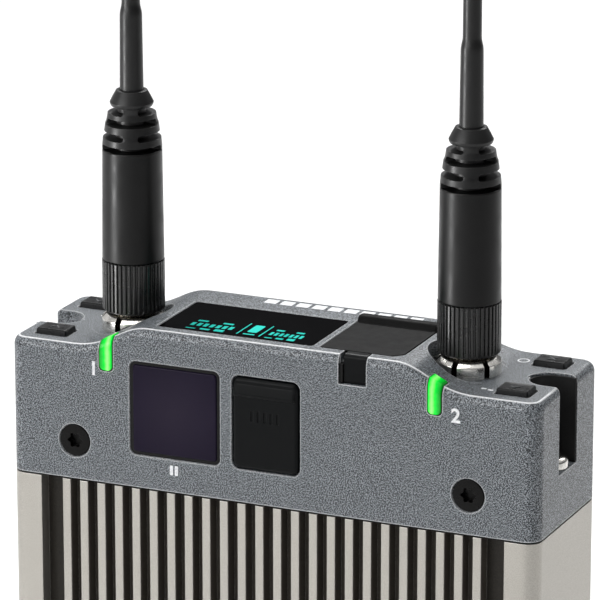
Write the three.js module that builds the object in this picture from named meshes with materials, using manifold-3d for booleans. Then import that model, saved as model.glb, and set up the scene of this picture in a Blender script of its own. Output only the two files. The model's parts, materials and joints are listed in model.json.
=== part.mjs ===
// A two-channel wireless receiver that slides into the accessory slot of a video camera: a finned
// metal case, a painted control head with a display and covers, and two flexible whip antennas.
// Millimetres, +Z up. The origin is the middle of the flat underside and the front face looks along -Y.

import * as THREE from "three";
import { mergeVertices } from "three/addons/utils/BufferGeometryUtils.js";
import Module from "manifold-3d";

const wasm = await Module();
wasm.setup();

// ---------------------------------------------------------------- driving dimensions
const WIDTH = 83;
const DEPTH = 24.2;
const CORNER_R = 2.33;
const SEAM_Z = 110; // where the head meets the case
const LOBE_Z = 20.65; // top of the head's ends, above the seam
const TOP_Z = 24.3; // top of the raised middle, above the seam
const WALL = 1.9;
const EDGE_R = 1.3; // rounding of the head's top edges
const REAR_EDGE_R = 2.6; // the raised middle is rounder at the back
const RAMP_IN = 19.3; // the ramp starts here and ends at RAMP_OUT, either side of the middle
const RAMP_OUT = 31.5;
const GAP = 0.12; // fitting gap round covers and windows
const SEAL_T = 0.3;
const FRONT = -DEPTH / 2;
const REAR = DEPTH / 2;

const PLATE_T = 5;
const FIN_COUNT = 24;
const FIN_PITCH = 2.818;
const FIN_W = 1.292;
const FIN_DEPTH = 2.26;
const FIN_SPAN = 66.1;
const BAND_X = 36.51; // the plain corner bands of the case start here
const CASE_IN_X = 35.6;
const CASE_IN_Y = 8.2;

const SLOT_X = 38.6; // centre of each side slot's round end, and the captive screw's axis
const SLOT_R = 3.05;
const SLOT_FLOOR = 7.7;
const LINER_T = 0.4;
const SCREW_R = 1.25;

const ANTENNA_X = 26.5;
const ANTENNA_Y = -1.0;
const KEY_X = 36.19;
const KEY_Y = 7.23;
const KEY_W = 5.15;
const KEY_D = 3.85;
const LED_X = 25.75;
const LED_W = 2.35;
const HEAD_SCREW_X = 30.97;
const HEAD_SCREW_Z = 5.95;
const FOOT_SCREW_X = 38.3;
const FOOT_SCREW_Y = 7.6;
const HEAD_SCREW_HOLE_R = 1.15;
const BOARD_Z = 13.6;
const BOARD_T = 1.2;
const BOARD_TOP = BOARD_Z + BOARD_T + 0.02; // what is soldered on top stands here

// Heights of the antenna's pieces above the seam.
const RING_NUT_Z = [20.68, 23.2];
const COUPLING_Z = [23.8, 31.38];
const SLEEVE_Z = [31.45, 48.0];
const RELIEF_END = 56.84;
const WHIP_FOOT = 52.6;
const WHIP_TIP = 128.8;

// Openings of the head: low and high corners, in X and Z on the front, in X and Y on top.
const WINDOW = { x0: -22.0, x1: -7.63, z0: 5.1, z1: 19.33, r: 1.0 };
const COVER = { x0: -5.72, x1: 4.99, z0: 5.13, z1: 19.27, r: 1.2 };
const DISPLAY = { x0: -18.7, x1: 5.8, y0: -9.6, y1: 4.1, r: 0.3 };
const FLAP = { x0: 6.9, x1: 19.6, y0: -9.6, y1: 5.9, clip: 1.4 };
const STRAP = { x0: 10.95, x1: 15.25, z0: 20.0 };
const JACK_X = 13.1; // the headphone jack under the flap
const GLASS_T = 1.2;
const FLAP_T = 1.3;
const COVER_DEPTH = 1.3;

// ---------------------------------------------------------------- finishes
function finish(color, roughness, metalness) {
  return new THREE.MeshStandardMaterial({ color, roughness, metalness });
}
const CASE_METAL = finish(0xc9c3b7, 0.42, 0.85);
const HEAD_PAINT = finish(0x7b8086, 0.6, 0.1);
const BLACK_RUBBER = finish(0x1b1b1c, 0.75, 0);
const BLACK_PLASTIC = finish(0x131314, 0.45, 0);
const BLACK_GLASS = finish(0x08080a, 0.08, 0);
const FILTER_GLASS = finish(0x1c1626, 0.15, 0);
const GREEN_LENS = finish(0x18e03c, 0.2, 0);
const BLACK_STEEL = finish(0x17150f, 0.4, 0.7);
const BRIGHT_STEEL = finish(0xc8c6c0, 0.25, 1);
const NICKEL = finish(0xcbc5b6, 0.22, 1);
const BRASS = finish(0xb39450, 0.3, 1);
const BOARD_GREEN = finish(0x1d4a2c, 0.6, 0);
const TIN = finish(0xb4b6b8, 0.35, 0.9);

// ---------------------------------------------------------------- solids
function toSolid(geometry) {
  const g = geometry.index ? geometry : geometry.clone();
  g.deleteAttribute("normal");
  g.deleteAttribute("uv");
  const merged = mergeVertices(g, 1e-4);
  const vertProperties = merged.attributes.position.array;
  const triVerts = new Uint32Array(merged.index.array);
  return new wasm.Manifold(new wasm.Mesh({ numProp: 3, vertProperties, triVerts }));
}

function toGeometry(solid) {
  const mesh = solid.getMesh();
  const positions = new Float32Array(mesh.vertProperties);
  const geometry = new THREE.BufferGeometry();
  geometry.setAttribute("position", new THREE.BufferAttribute(positions, 3));
  geometry.setIndex(new THREE.BufferAttribute(new Uint32Array(mesh.triVerts), 1));
  geometry.computeVertexNormals();
  return geometry;
}

function join(...solids) {
  return solids.reduce((whole, next) => whole.add(next));
}

function cut(solid, ...tools) {
  return tools.reduce((left, tool) => left.subtract(tool), solid);
}

function block(x0, x1, y0, y1, z0, z1) {
  const g = new THREE.BoxGeometry(x1 - x0, y1 - y0, z1 - z0);
  g.translate((x0 + x1) / 2, (y0 + y1) / 2, (z0 + z1) / 2);
  return toSolid(g);
}

// An outline in X and Y, standing from z0 to z1.
function standing(shape, z0, z1, curveSegments = 2) {
  const g = new THREE.ExtrudeGeometry(shape, { depth: z1 - z0, bevelEnabled: false, curveSegments });
  g.translate(0, 0, z0);
  return toSolid(g);
}

// An outline in X and Z, running from y0 to y1. Its ends are rounded by the radius `round`.
function lying(shape, y0, y1, round = 0, curveSegments = 2, bevelSegments = 1) {
  const g = new THREE.ExtrudeGeometry(shape, {
    depth: y1 - y0 - 2 * round,
    bevelEnabled: round > 0,
    bevelThickness: round,
    bevelSize: round,
    bevelOffset: -round,
    bevelSegments,
    curveSegments,
  });
  g.rotateX(Math.PI / 2);
  g.translate(0, y1 - round, 0);
  return toSolid(g);
}

// A profile of [radius, height] points, listed upwards on the outside, turned about Z.
function turned(profile, x = 0, y = 0, z = 0, sides = 14) {
  const points = profile.map(([r, h]) => new THREE.Vector2(r, h));
  const g = new THREE.LatheGeometry(points, sides);
  g.rotateX(Math.PI / 2);
  g.translate(x, y, z);
  return toSolid(g);
}

function rod(radius, z0, z1, x = 0, y = 0, sides = 14) {
  return turned([[0, z0], [radius, z0], [radius, z1], [0, z1]], x, y, 0, sides);
}

// The same turned profile with its axis along Y: heights run from `y` towards the inside of the head.
function turnedIntoFront(profile, x, y, z, side, sides = 12) {
  const points = profile.map(([r, h]) => new THREE.Vector2(r, h));
  const g = new THREE.LatheGeometry(points, sides);
  if (side > 0) g.rotateZ(Math.PI);
  g.translate(x, y, z);
  return toSolid(g);
}

function roundedRect(x0, x1, y0, y1, r) {
  const s = new THREE.Shape();
  s.moveTo(x0 + r, y0);
  s.lineTo(x1 - r, y0);
  s.absarc(x1 - r, y0 + r, r, -Math.PI / 2, 0, false);
  s.lineTo(x1, y1 - r);
  s.absarc(x1 - r, y1 - r, r, 0, Math.PI / 2, false);
  s.lineTo(x0 + r, y1);
  s.absarc(x0 + r, y1 - r, r, Math.PI / 2, Math.PI, false);
  s.lineTo(x0, y0 + r);
  s.absarc(x0 + r, y0 + r, r, Math.PI, 1.5 * Math.PI, false);
  return s;
}

function circle(x, y, r) {
  return new THREE.Path().absarc(x, y, r, 0, 2 * Math.PI, true);
}

// A block whose top is smaller than its foot by `lean` on every side.
function tapered(x, y, w, d, z0, z1, lean) {
  const cornerR = 0.4;
  const g = new THREE.ExtrudeGeometry(roundedRect(-w / 2, w / 2, -d / 2, d / 2, cornerR), {
    depth: z1 - z0,
    bevelEnabled: false,
    curveSegments: 1,
  });
  const p = g.attributes.position;
  for (let i = 0; i < p.count; i++) {
    if (p.getZ(i) > 1e-6) p.setXY(i, p.getX(i) * (1 - (2 * lean) / w), p.getY(i) * (1 - (2 * lean) / d));
  }
  g.translate(x, y, z0);
  return toSolid(g);
}

const caseGroup = new THREE.Group();
const headGroup = new THREE.Group();
headGroup.position.z = SEAM_Z;
const receiver = new THREE.Group();
receiver.name = "wireless_receiver";
receiver.add(caseGroup, headGroup);

function add(group, name, solid, material) {
  const mesh = new THREE.Mesh(toGeometry(solid), material);
  mesh.name = name;
  group.add(mesh);
}

const SIDES = [
  ["left", -1],
  ["right", 1],
];
const ENDS = [
  ["front", -1],
  ["rear", 1],
];

// ---------------------------------------------------------------- finned case
// Points along one finned face, from -X to +X at depth `face`; inward is the sign of +Y into the metal.
function finnedFace(face, inward) {
  const floor = face + inward * FIN_DEPTH;
  const first = -FIN_SPAN / 2;
  const grooves = [[-BAND_X, first]];
  for (let i = 0; i < FIN_COUNT - 1; i++) {
    const start = first + i * FIN_PITCH + FIN_W;
    grooves.push([start, first + (i + 1) * FIN_PITCH]);
  }
  grooves.push([FIN_SPAN / 2, BAND_X]);
  return grooves.flatMap(([a, b]) => [[a, face], [a, floor], [b, floor], [b, face]]);
}

function caseShell() {
  const s = new THREE.Shape();
  const x = WIDTH / 2 - CORNER_R;
  const y = DEPTH / 2 - CORNER_R;
  s.moveTo(-x, FRONT);
  finnedFace(FRONT, 1).forEach((p) => s.lineTo(...p));
  s.lineTo(x, FRONT);
  s.absarc(x, -y, CORNER_R, -Math.PI / 2, 0, false);
  s.lineTo(WIDTH / 2, y);
  s.absarc(x, y, CORNER_R, 0, Math.PI / 2, false);
  finnedFace(REAR, -1)
    .reverse()
    .forEach((p) => s.lineTo(...p));
  s.lineTo(-x, REAR);
  s.absarc(-x, y, CORNER_R, Math.PI / 2, Math.PI, false);
  s.lineTo(-WIDTH / 2, -y);
  s.absarc(-x, -y, CORNER_R, Math.PI, 1.5 * Math.PI, false);
  const hollow = new THREE.Path();
  hollow.moveTo(-CASE_IN_X, -CASE_IN_Y);
  hollow.lineTo(-CASE_IN_X, CASE_IN_Y);
  hollow.lineTo(CASE_IN_X, CASE_IN_Y);
  hollow.lineTo(CASE_IN_X, -CASE_IN_Y);
  s.holes.push(hollow);
  for (const [, sx] of SIDES) {
    s.holes.push(circle(sx * SLOT_X, 0, SCREW_R + 0.3));
    for (const [, sy] of ENDS) s.holes.push(circle(sx * FOOT_SCREW_X, sy * FOOT_SCREW_Y, 1.1));
  }
  return standing(s, PLATE_T + 0.05, SEAM_Z - SEAL_T / 2, 4);
}

function bottomPlate() {
  const outline = roundedRect(-WIDTH / 2, WIDTH / 2, FRONT, REAR, CORNER_R);
  let plate = standing(outline, 0, PLATE_T);
  plate = plate.add(block(-35.4, 35.4, -8, 8, PLATE_T - 1, PLATE_T + 2.4));
  plate = plate.subtract(standing(roundedRect(-22, 22, -6.1, 6.1, 1.5), -1, 4.4));
  plate = plate.subtract(block(-19.9, 19.9, -4.6, 4.6, 4, 9));
  plate = plate.subtract(block(-27, 27, -6.4, 6.4, 6, 9));
  for (const [, sx] of SIDES) {
    plate = plate.subtract(rod(2.1, -1, PLATE_T + 1, sx * SLOT_X, 0, 16));
    for (const [, sy] of ENDS) {
      const sink = [[0, -1], [2.2, -1], [2.2, 0.3], [1.25, 1.25], [1.25, 6], [0, 6]];
      plate = plate.subtract(turned(sink, sx * FOOT_SCREW_X, sy * FOOT_SCREW_Y, 0));
    }
  }
  return plate;
}

// A flat-topped countersunk screw with a six-sided socket: the head at height 0, the point at `length`.
function countersunk(headR, shankR, length) {
  const profile = [[0, 0.1], [headR, 0.1], [headR, 0.35], [shankR, headR - shankR + 0.35]];
  return [...profile, [shankR, length], [0, length]];
}

function footScrew(x, y) {
  const body = turned(countersunk(2.1, 1.0, 9), x, y, 0, 12);
  return body.subtract(rod(0.9, -1, 1.1, x, y, 6));
}

// The slot connector: a metal surround with sloping ends, and an insulator with two rows of contacts.
function dOutline(w, d) {
  const lean = 0.9;
  const points = [
    [-w / 2 + lean, -d / 2],
    [w / 2 - lean, -d / 2],
    [w / 2, d / 2],
    [-w / 2, d / 2],
  ];
  return new THREE.Shape(points.map((p) => new THREE.Vector2(...p)));
}

function slotConnector() {
  const wall = standing(dOutline(39.2, 8.4), 0.3, 6.1);
  const flange = standing(roundedRect(-26.6, 26.6, -6.2, 6.2, 1), 6.1, 6.9);
  return cut(join(wall, flange), standing(dOutline(38.2, 7.5), -1, 8));
}

function slotInsert() {
  let insert = standing(dOutline(37.9, 7.2), 0.6, 9);
  for (let i = 0; i < 8; i++) {
    const x = (i - 3.5) * 4.2;
    insert = insert.subtract(rod(0.55, 0, 4, x, 1.42, 6));
    if (i < 7) insert = insert.subtract(rod(0.55, 0, 4, x + 2.1, -1.42, 6));
  }
  return insert;
}

function mainBoard() {
  const board = block(-31.2, 31.2, -0.8, 0.8, 12, 106);
  return join(board, block(-8, 8, 0.7, 3.2, 97, 104), block(-15, 15, 0.7, 3.6, 14, 21));
}

function receiverCan(sx) {
  const can = block(2, 29.5, -5, -0.85, 46, 98);
  const lid = block(1.7, 29.8, -5.6, -4.4, 45.7, 98.3);
  return join(can, lid).scale([sx, 1, 1]);
}

add(caseGroup, "body_shell", caseShell(), CASE_METAL);
add(caseGroup, "bottom_plate", bottomPlate(), CASE_METAL);
add(caseGroup, "slot_connector", slotConnector(), TIN);
add(caseGroup, "slot_insert", slotInsert(), BLACK_PLASTIC);
add(caseGroup, "main_board", mainBoard(), BOARD_GREEN);
for (const [side, sx] of SIDES) {
  add(caseGroup, `receiver_can_${side}`, receiverCan(sx), TIN);
  for (const [end, sy] of ENDS) {
    const screw = footScrew(sx * FOOT_SCREW_X, sy * FOOT_SCREW_Y);
    add(caseGroup, `bottom_screw_${end}_${side}`, screw, BLACK_STEEL);
  }
}

// ---------------------------------------------------------------- head housing
// The head's front outline between the ramps' feet, raised by `lift` and brought in by `inset`.
function rampOutline(lift, inset, foot) {
  const s = new THREE.Shape();
  const low = LOBE_Z + lift;
  const high = TOP_Z + lift;
  s.moveTo(-RAMP_OUT + inset, foot);
  s.lineTo(RAMP_OUT - inset, foot);
  s.lineTo(RAMP_OUT - inset, low);
  s.bezierCurveTo(25.4 - inset, low, 23.6 - inset, high, RAMP_IN - inset, high);
  s.lineTo(-RAMP_IN + inset, high);
  s.bezierCurveTo(-23.6 + inset, high, -25.4 + inset, low, -RAMP_OUT + inset, low);
  return s;
}

// The full outside of the head, standing proud of the real surface by `proud`.
function headOutside(proud = 0) {
  const outline = roundedRect(-WIDTH / 2, WIDTH / 2, FRONT - proud, REAR + proud, CORNER_R);
  const g = new THREE.ExtrudeGeometry(outline, {
    depth: LOBE_Z + proud + 5,
    bevelEnabled: true,
    bevelThickness: EDGE_R,
    bevelSize: EDGE_R,
    bevelOffset: -EDGE_R,
    bevelSegments: 2,
    curveSegments: 3,
  });
  g.translate(0, 0, -5 - EDGE_R);
  const lobes = toSolid(g);
  const ramp = rampOutline(proud, 0, -8);
  const front = lying(ramp, FRONT - proud, REAR + 9, EDGE_R, 7, 2);
  const rear = lying(ramp, FRONT - 9, REAR + proud, REAR_EDGE_R, 7, 2);
  const whole = join(lobes, front.intersect(rear));
  return whole.subtract(block(-60, 60, -30, 30, -20, SEAL_T / 2));
}

// The side slot in plan. Its round end and one wall are cut wider for the liner.
function slotCutter(z0, z1) {
  const wide = SLOT_R + LINER_T + 0.05;
  const s = new THREE.Shape();
  s.moveTo(SLOT_X + 5, -SLOT_R);
  s.lineTo(SLOT_X + 5, wide);
  s.lineTo(SLOT_X, wide);
  s.absarc(SLOT_X, 0, wide, Math.PI / 2, Math.PI, false);
  s.lineTo(SLOT_X - SLOT_R, 0);
  s.absarc(SLOT_X, 0, SLOT_R, Math.PI, 1.5 * Math.PI, false);
  return standing(s, z0, z1, 4);
}

function ledCutter(sx, grow) {
  const half = LED_W / 2 + grow;
  const x = sx * LED_X;
  const shape = roundedRect(x - half, x + half, 17.2 - grow, 32, 0.7);
  return lying(shape, FRONT - 2, -9.5 + grow);
}

function flapOutline(grow) {
  const s = new THREE.Shape();
  s.moveTo(FLAP.x0 - grow, FLAP.y0 - grow);
  s.lineTo(FLAP.x1 + grow - FLAP.clip, FLAP.y0 - grow);
  s.lineTo(FLAP.x1 + grow, FLAP.y0 - grow + FLAP.clip);
  s.lineTo(FLAP.x1 + grow, FLAP.y1 + grow);
  s.lineTo(FLAP.x0 - grow, FLAP.y1 + grow);
  return s;
}

function headHousing() {
  const innerY = REAR - WALL;
  const innerTop = LOBE_Z - 2.2;
  const pocketIn = SLOT_R + LINER_T + 1.45;
  const tools = [
    lying(rampOutline(-2.3, 0.6, -3), -innerY, innerY, 0, 4),
    block(-33.4, 33.4, -innerY, innerY, -3, innerTop),
    lying(roundedRect(WINDOW.x0, WINDOW.x1, WINDOW.z0, WINDOW.z1, WINDOW.r), FRONT - 1, -9.9),
    lying(roundedRect(COVER.x0, COVER.x1, COVER.z0, COVER.z1, COVER.r), FRONT - 1, FRONT + COVER_DEPTH),
    lying(roundedRect(-4.7, 3.97, 10.4, 14.1, 0.5), FRONT, -9.9),
    standing(roundedRect(DISPLAY.x0, DISPLAY.x1, DISPLAY.y0, DISPLAY.y1, DISPLAY.r), TOP_Z - GLASS_T, 30),
    block(DISPLAY.x0 + 1.5, DISPLAY.x1 - 1.5, DISPLAY.y0 + 1.3, DISPLAY.y1 - 1.3, 20, 30),
    standing(flapOutline(0), TOP_Z - FLAP_T, 30),
    rod(3.1, 20, 30, JACK_X, 0),
    block(STRAP.x0, STRAP.x1, FRONT - 1, FRONT + 1.5, STRAP.z0, 30),
    block(STRAP.x0, STRAP.x1, FRONT + 1, FLAP.y0 + 1, TOP_Z - FLAP_T, 30),
  ];
  for (const [, sx] of SIDES) {
    const outer = Math.max(33.3 * sx, 39.4 * sx);
    const inner = Math.min(33.3 * sx, 39.4 * sx);
    for (const [, sy] of ENDS) {
      const y0 = Math.min(sy * pocketIn, sy * innerY);
      const y1 = Math.max(sy * pocketIn, sy * innerY);
      tools.push(block(inner, outer, y0, y1, -3, innerTop));
      const [w, d] = [KEY_W / 2 + 0.1, KEY_D / 2 + 0.1];
      const key = roundedRect(sx * KEY_X - w, sx * KEY_X + w, sy * KEY_Y - d, sy * KEY_Y + d, 0.5);
      tools.push(standing(key, 15, 30, 1));
      const sink = [[0, -1], [2.55, -1], [2.55, 0.25], [1.4, 1.4], [1.4, 5], [0, 5]];
      tools.push(turnedIntoFront(sink, sx * HEAD_SCREW_X, sy * REAR, HEAD_SCREW_Z, sy));
    }
    tools.push(slotCutter(SLOT_FLOOR, 30).rotate([0, 0, sx > 0 ? 0 : 180]));
    tools.push(rod(SCREW_R + 0.3, -3, SLOT_FLOOR + 1, sx * SLOT_X, 0, 16));
    tools.push(rod(2.6, -3, 5, sx * SLOT_X, 0, 16));
    tools.push(rod(5.9, LOBE_Z, 30, sx * ANTENNA_X, ANTENNA_Y, 24));
    tools.push(rod(3.45, 15, 30, sx * ANTENNA_X, ANTENNA_Y));
    tools.push(ledCutter(sx, 0));
  }
  return cut(headOutside(), ...tools);
}

function gasket() {
  const inset = 0.35;
  const outline = roundedRect(
    -WIDTH / 2 + inset, WIDTH / 2 - inset, FRONT + inset, REAR - inset, CORNER_R - inset,
  );
  const hollow = new THREE.Path();
  hollow.moveTo(-33.3, -CASE_IN_Y);
  hollow.lineTo(-33.3, CASE_IN_Y);
  hollow.lineTo(33.3, CASE_IN_Y);
  hollow.lineTo(33.3, -CASE_IN_Y);
  outline.holes.push(hollow);
  for (const [, sx] of SIDES) outline.holes.push(circle(sx * SLOT_X, 0, 1.7));
  return standing(outline, -SEAL_T / 2 + 0.02, SEAL_T / 2 - 0.02, 5);
}

// A ring that stands half in the case and half in the head, with a tapped lug for each head screw.
function joiningFrame() {
  let frame = cut(block(-33.1, 33.1, -8.1, 8.1, -8, 9.2), block(-31.5, 31.5, -6.5, 6.5, -9, 10));
  for (const [, sx] of SIDES) {
    for (const [, sy] of ENDS) {
      const x0 = Math.min(sx * 28.3, sx * 33.1);
      const y0 = Math.min(sy * 6.6, sy * 10.1);
      frame = frame.add(block(x0, x0 + 4.8, y0, y0 + 3.5, 2.6, 9.2));
      const hole = [[0, 0], [HEAD_SCREW_HOLE_R, 0], [HEAD_SCREW_HOLE_R, 9], [0, 9]];
      frame = frame.subtract(turnedIntoFront(hole, sx * HEAD_SCREW_X, sy * REAR, HEAD_SCREW_Z, sy, 16));
    }
  }
  return frame;
}

function headScrew(sx, sy) {
  const [x, y] = [sx * HEAD_SCREW_X, sy * REAR];
  const body = turnedIntoFront(countersunk(2.4, 1.1, 5), x, y, HEAD_SCREW_Z, sy);
  const socket = [[0, -1], [1.15, -1], [1.15, 1.3], [0, 1.3]];
  return body.subtract(turnedIntoFront(socket, x, y, HEAD_SCREW_Z, sy, 6));
}

add(headGroup, "head_housing", headHousing(), HEAD_PAINT);
add(headGroup, "seal_gasket", gasket(), BLACK_RUBBER);
add(headGroup, "joining_frame", joiningFrame(), TIN);
for (const [side, sx] of SIDES) {
  for (const [end, sy] of ENDS) {
    add(headGroup, `head_screw_${end}_${side}`, headScrew(sx, sy), BLACK_STEEL);
  }
}

// ---------------------------------------------------------------- windows, display and covers
function inWindow(opening, y0, y1, round) {
  const { x0, x1, z0, z1, r } = opening;
  return lying(roundedRect(x0 + GAP, x1 - GAP, z0 + GAP, z1 - GAP, r), y0, y1, round);
}

function socketCover() {
  const plate = inWindow(COVER, FRONT - 0.25, FRONT + COVER_DEPTH - 0.05, 0.3);
  const plug = block(-3.6, 2.87, FRONT + 1, FRONT + 2.4, 11.3, 13.2);
  return join(plate, plug);
}

function topFlap() {
  const plate = standing(flapOutline(-GAP), TOP_Z - FLAP_T + 0.05, TOP_Z + 0.05);
  const lipFace = roundedRect(FLAP.x0 + GAP, FLAP.x1 - GAP, TOP_Z - 1, TOP_Z + 0.95, 0.4);
  const lip = lying(lipFace, FLAP.y1 - 2.1, FLAP.y1 - GAP, 0.35);
  const plug = rod(1.35, TOP_Z - FLAP_T - 0.9, TOP_Z - 0.5, JACK_X, 0, 12);
  return join(plate, lip, plug);
}

function flapTether() {
  const x0 = STRAP.x0 + 0.25;
  const x1 = STRAP.x1 - 0.15;
  const over = block(x0, x1, FRONT + 0.55, FLAP.y0 - 0.08, TOP_Z - FLAP_T + 0.05, TOP_Z + 0.02);
  const down = block(x0, x1, FRONT + 0.45, FRONT + 1.4, STRAP.z0 + 0.05, TOP_Z - 0.25);
  return join(over, down);
}

function dataSocket() {
  const shell = lying(roundedRect(-4.2, 3.47, 10.85, 13.55, 0.4), FRONT + 2.5, -4.5);
  const mouth = lying(roundedRect(-3.85, 3.12, 11.2, 13.2, 0.3), FRONT + 2, -6);
  const tongue = block(-2.6, 1.87, -9.2, -5.8, 11.9, 12.5);
  return join(cut(shell, mouth), tongue);
}

function phonesJack() {
  const housing = block(JACK_X - 3.4, JACK_X + 3.4, -3.4, 3.4, 9.6, 21.4);
  const neck = rod(2.9, 21, TOP_Z - FLAP_T - 0.1, JACK_X, 0);
  return join(housing, neck).subtract(rod(1.8, 10.5, 30, JACK_X, 0));
}

function lightPipe(sx) {
  const lens = headOutside(0.22).intersect(ledCutter(sx, -0.11));
  const stem = block(sx * LED_X - 0.95, sx * LED_X + 0.95, -10.05, -8.5, 15.75, 18.6);
  const neck = block(sx * LED_X - 0.95, sx * LED_X + 0.95, FRONT + 0.6, -9.0, 17.4, 18.6);
  return join(lens, stem, neck);
}

function irTransceiver() {
  const board = block(-19.2, -10.4, -9.3, -8.4, 7, 13.2);
  const eyes = join(rod(1.3, 0, 1.1), rod(1.3, 0, 1.1, 4)).rotate([90, 0, 0]);
  return join(board, eyes.translate([-16.8, -9.2, 10.2]), block(-17, -12, -9.9, -9.2, 9, 11.4));
}

function displayGlass() {
  const { x0, x1, y0, y1, r } = DISPLAY;
  const outline = roundedRect(x0 + GAP, x1 - GAP, y0 + GAP, y1 - GAP, r);
  return standing(outline, TOP_Z - GLASS_T + 0.05, TOP_Z - 0.06);
}

function displayPanel() {
  const screen = block(-16.9, 4.0, -8.1, 2.6, 21.4, TOP_Z - GLASS_T - 0.05);
  const ribbon = block(-10, -2, 1.8, 2.5, 15, 22);
  return join(screen, ribbon);
}

add(headGroup, "display_glass", displayGlass(), BLACK_GLASS);
add(headGroup, "display_panel", displayPanel(), BLACK_PLASTIC);
add(headGroup, "ir_window", inWindow(WINDOW, FRONT - 0.02, FRONT + 1.5, 0.25), FILTER_GLASS);
add(headGroup, "ir_transceiver", irTransceiver(), BLACK_PLASTIC);
add(headGroup, "socket_cover", socketCover(), BLACK_RUBBER);
add(headGroup, "data_socket", dataSocket(), TIN);
add(headGroup, "top_flap", topFlap(), BLACK_RUBBER);
add(headGroup, "flap_tether", flapTether(), BLACK_RUBBER);
add(headGroup, "phones_jack", phonesJack(), BLACK_PLASTIC);

// ---------------------------------------------------------------- control board, keys and lamps
function controlBoard() {
  let board = block(-39.2, 39.2, -8.0, 9.9, BOARD_Z, BOARD_Z + BOARD_T);
  const jackHole = block(JACK_X - 3.7, JACK_X + 3.7, -3.7, 3.7, BOARD_Z - 1, BOARD_Z + 3);
  board = board.subtract(jackHole);
  for (const [, sx] of SIDES) {
    const tab = block(sx * LED_X - 2, sx * LED_X + 2, -10.0, -7.5, BOARD_Z, BOARD_Z + BOARD_T);
    const x0 = Math.min(sx * 33.2, sx * 42);
    board = join(board, tab);
    board = cut(
      board,
      rod(5.2, BOARD_Z - 1, BOARD_Z + 3, sx * ANTENNA_X, ANTENNA_Y, 16),
      block(x0, x0 + 8.8, -5.1, 5.1, BOARD_Z - 1, BOARD_Z + 3),
    );
  }
  return board;
}

function key(sx, sy) {
  const x = sx * KEY_X;
  const y = sy * KEY_Y;
  const shaft = tapered(x, y, KEY_W, KEY_D, 18, LOBE_Z - 0.12, 0);
  const cap = tapered(x, y, KEY_W - 0.2, KEY_D - 0.2, LOBE_Z - 0.2, LOBE_Z + 0.58, 0.16);
  const flange = block(x - 2.85, x + 2.85, y - 2.2, y + 2.2, 17.7, 18.3);
  const stem = block(x - 1.2, x + 1.2, y - 1, y + 1, 17, 18);
  return join(shaft, cap, flange, stem);
}

function keySwitch(sx, sy) {
  const x = sx * KEY_X;
  const y = sy * KEY_Y;
  const z = BOARD_TOP;
  return join(block(x - 1.9, x + 1.9, y - 1.5, y + 1.5, z, z + 1.1), rod(0.8, z + 1, z + 1.5, x, y, 12));
}

add(headGroup, "control_board", controlBoard(), BOARD_GREEN);
for (const [side, sx] of SIDES) {
  add(headGroup, `light_pipe_${side}`, lightPipe(sx), GREEN_LENS);
  const lamp = block(sx * LED_X - 0.8, sx * LED_X + 0.8, -9.9, -8.9, BOARD_TOP, 15.6);
  add(headGroup, `indicator_led_${side}`, lamp, GREEN_LENS);
  for (const [end, sy] of ENDS) {
    add(headGroup, `button_${end}_${side}`, key(sx, sy), BLACK_RUBBER);
    add(headGroup, `key_switch_${end}_${side}`, keySwitch(sx, sy), BLACK_PLASTIC);
  }
}

// ---------------------------------------------------------------- captive mounting screws
function slotLiner() {
  const outer = SLOT_R + LINER_T;
  const end = WIDTH / 2 - 0.15;
  const s = new THREE.Shape();
  s.moveTo(end, SLOT_R);
  s.lineTo(end, outer);
  s.lineTo(SLOT_X, outer);
  s.absarc(SLOT_X, 0, outer, Math.PI / 2, Math.PI * 0.98, false);
  s.lineTo(SLOT_X - SLOT_R * Math.cos(Math.PI * 0.02), SLOT_R * Math.sin(Math.PI * 0.02));
  s.absarc(SLOT_X, 0, SLOT_R, Math.PI * 0.98, Math.PI / 2, true);
  return standing(s, SLOT_FLOOR + 0.05, LOBE_Z - 0.35, 4);
}

// The long screw: a rounded pan head on the slot's floor and a point held back inside the base plate.
function mountScrew(x) {
  const floor = SLOT_FLOOR + 0.05;
  const profile = [
    [0, -SEAM_Z + 1],
    [SCREW_R - 0.4, -SEAM_Z + 1],
    [SCREW_R, -SEAM_Z + 1.5],
    [SCREW_R, floor],
    [2.7, floor],
    [2.7, floor + 1.1],
    [2.45, floor + 1.6],
    [1.9, floor + 1.9],
    [0, floor + 2.0],
  ];
  return cut(turned(profile, x, 0, 0, 12), rod(1.25, floor + 0.9, floor + 3, x, 0, 6));
}

function screwClip(x) {
  const r = SCREW_R + 0.05;
  return turned([[r, 0.5], [2.2, 0.5], [2.2, 1.0], [r, 1.0], [r, 0.5]], x, 0, 0, 16);
}

for (const [side, sx] of SIDES) {
  add(headGroup, `slot_liner_${side}`, slotLiner().rotate([0, 0, sx > 0 ? 0 : 180]), BLACK_PLASTIC);
  add(headGroup, `mount_screw_${side}`, mountScrew(sx * SLOT_X), BRIGHT_STEEL);
  add(headGroup, `screw_clip_${side}`, screwClip(sx * SLOT_X), BRIGHT_STEEL);
}

// ---------------------------------------------------------------- antennas
const RELIEF_TURN = 22; // how far the bend relief's slots are turned from the front, in degrees
const NUT_NOTCH_TURN = -5;

function ringNut() {
  const [z0, z1] = RING_NUT_Z;
  const profile = [[3.35, z0], [4.72, z0], [4.72, z1 - 0.35], [4.4, z1], [3.35, z1], [3.35, z0]];
  let nut = turned(profile, 0, 0, 0, 18);
  const notch = block(-0.45, 0.45, -6, -3.75, z0 - 1, z1 + 1);
  for (let i = 0; i < 6; i++) nut = nut.subtract(notch.rotate([0, 0, NUT_NOTCH_TURN + 60 * i]));
  return nut;
}

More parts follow.
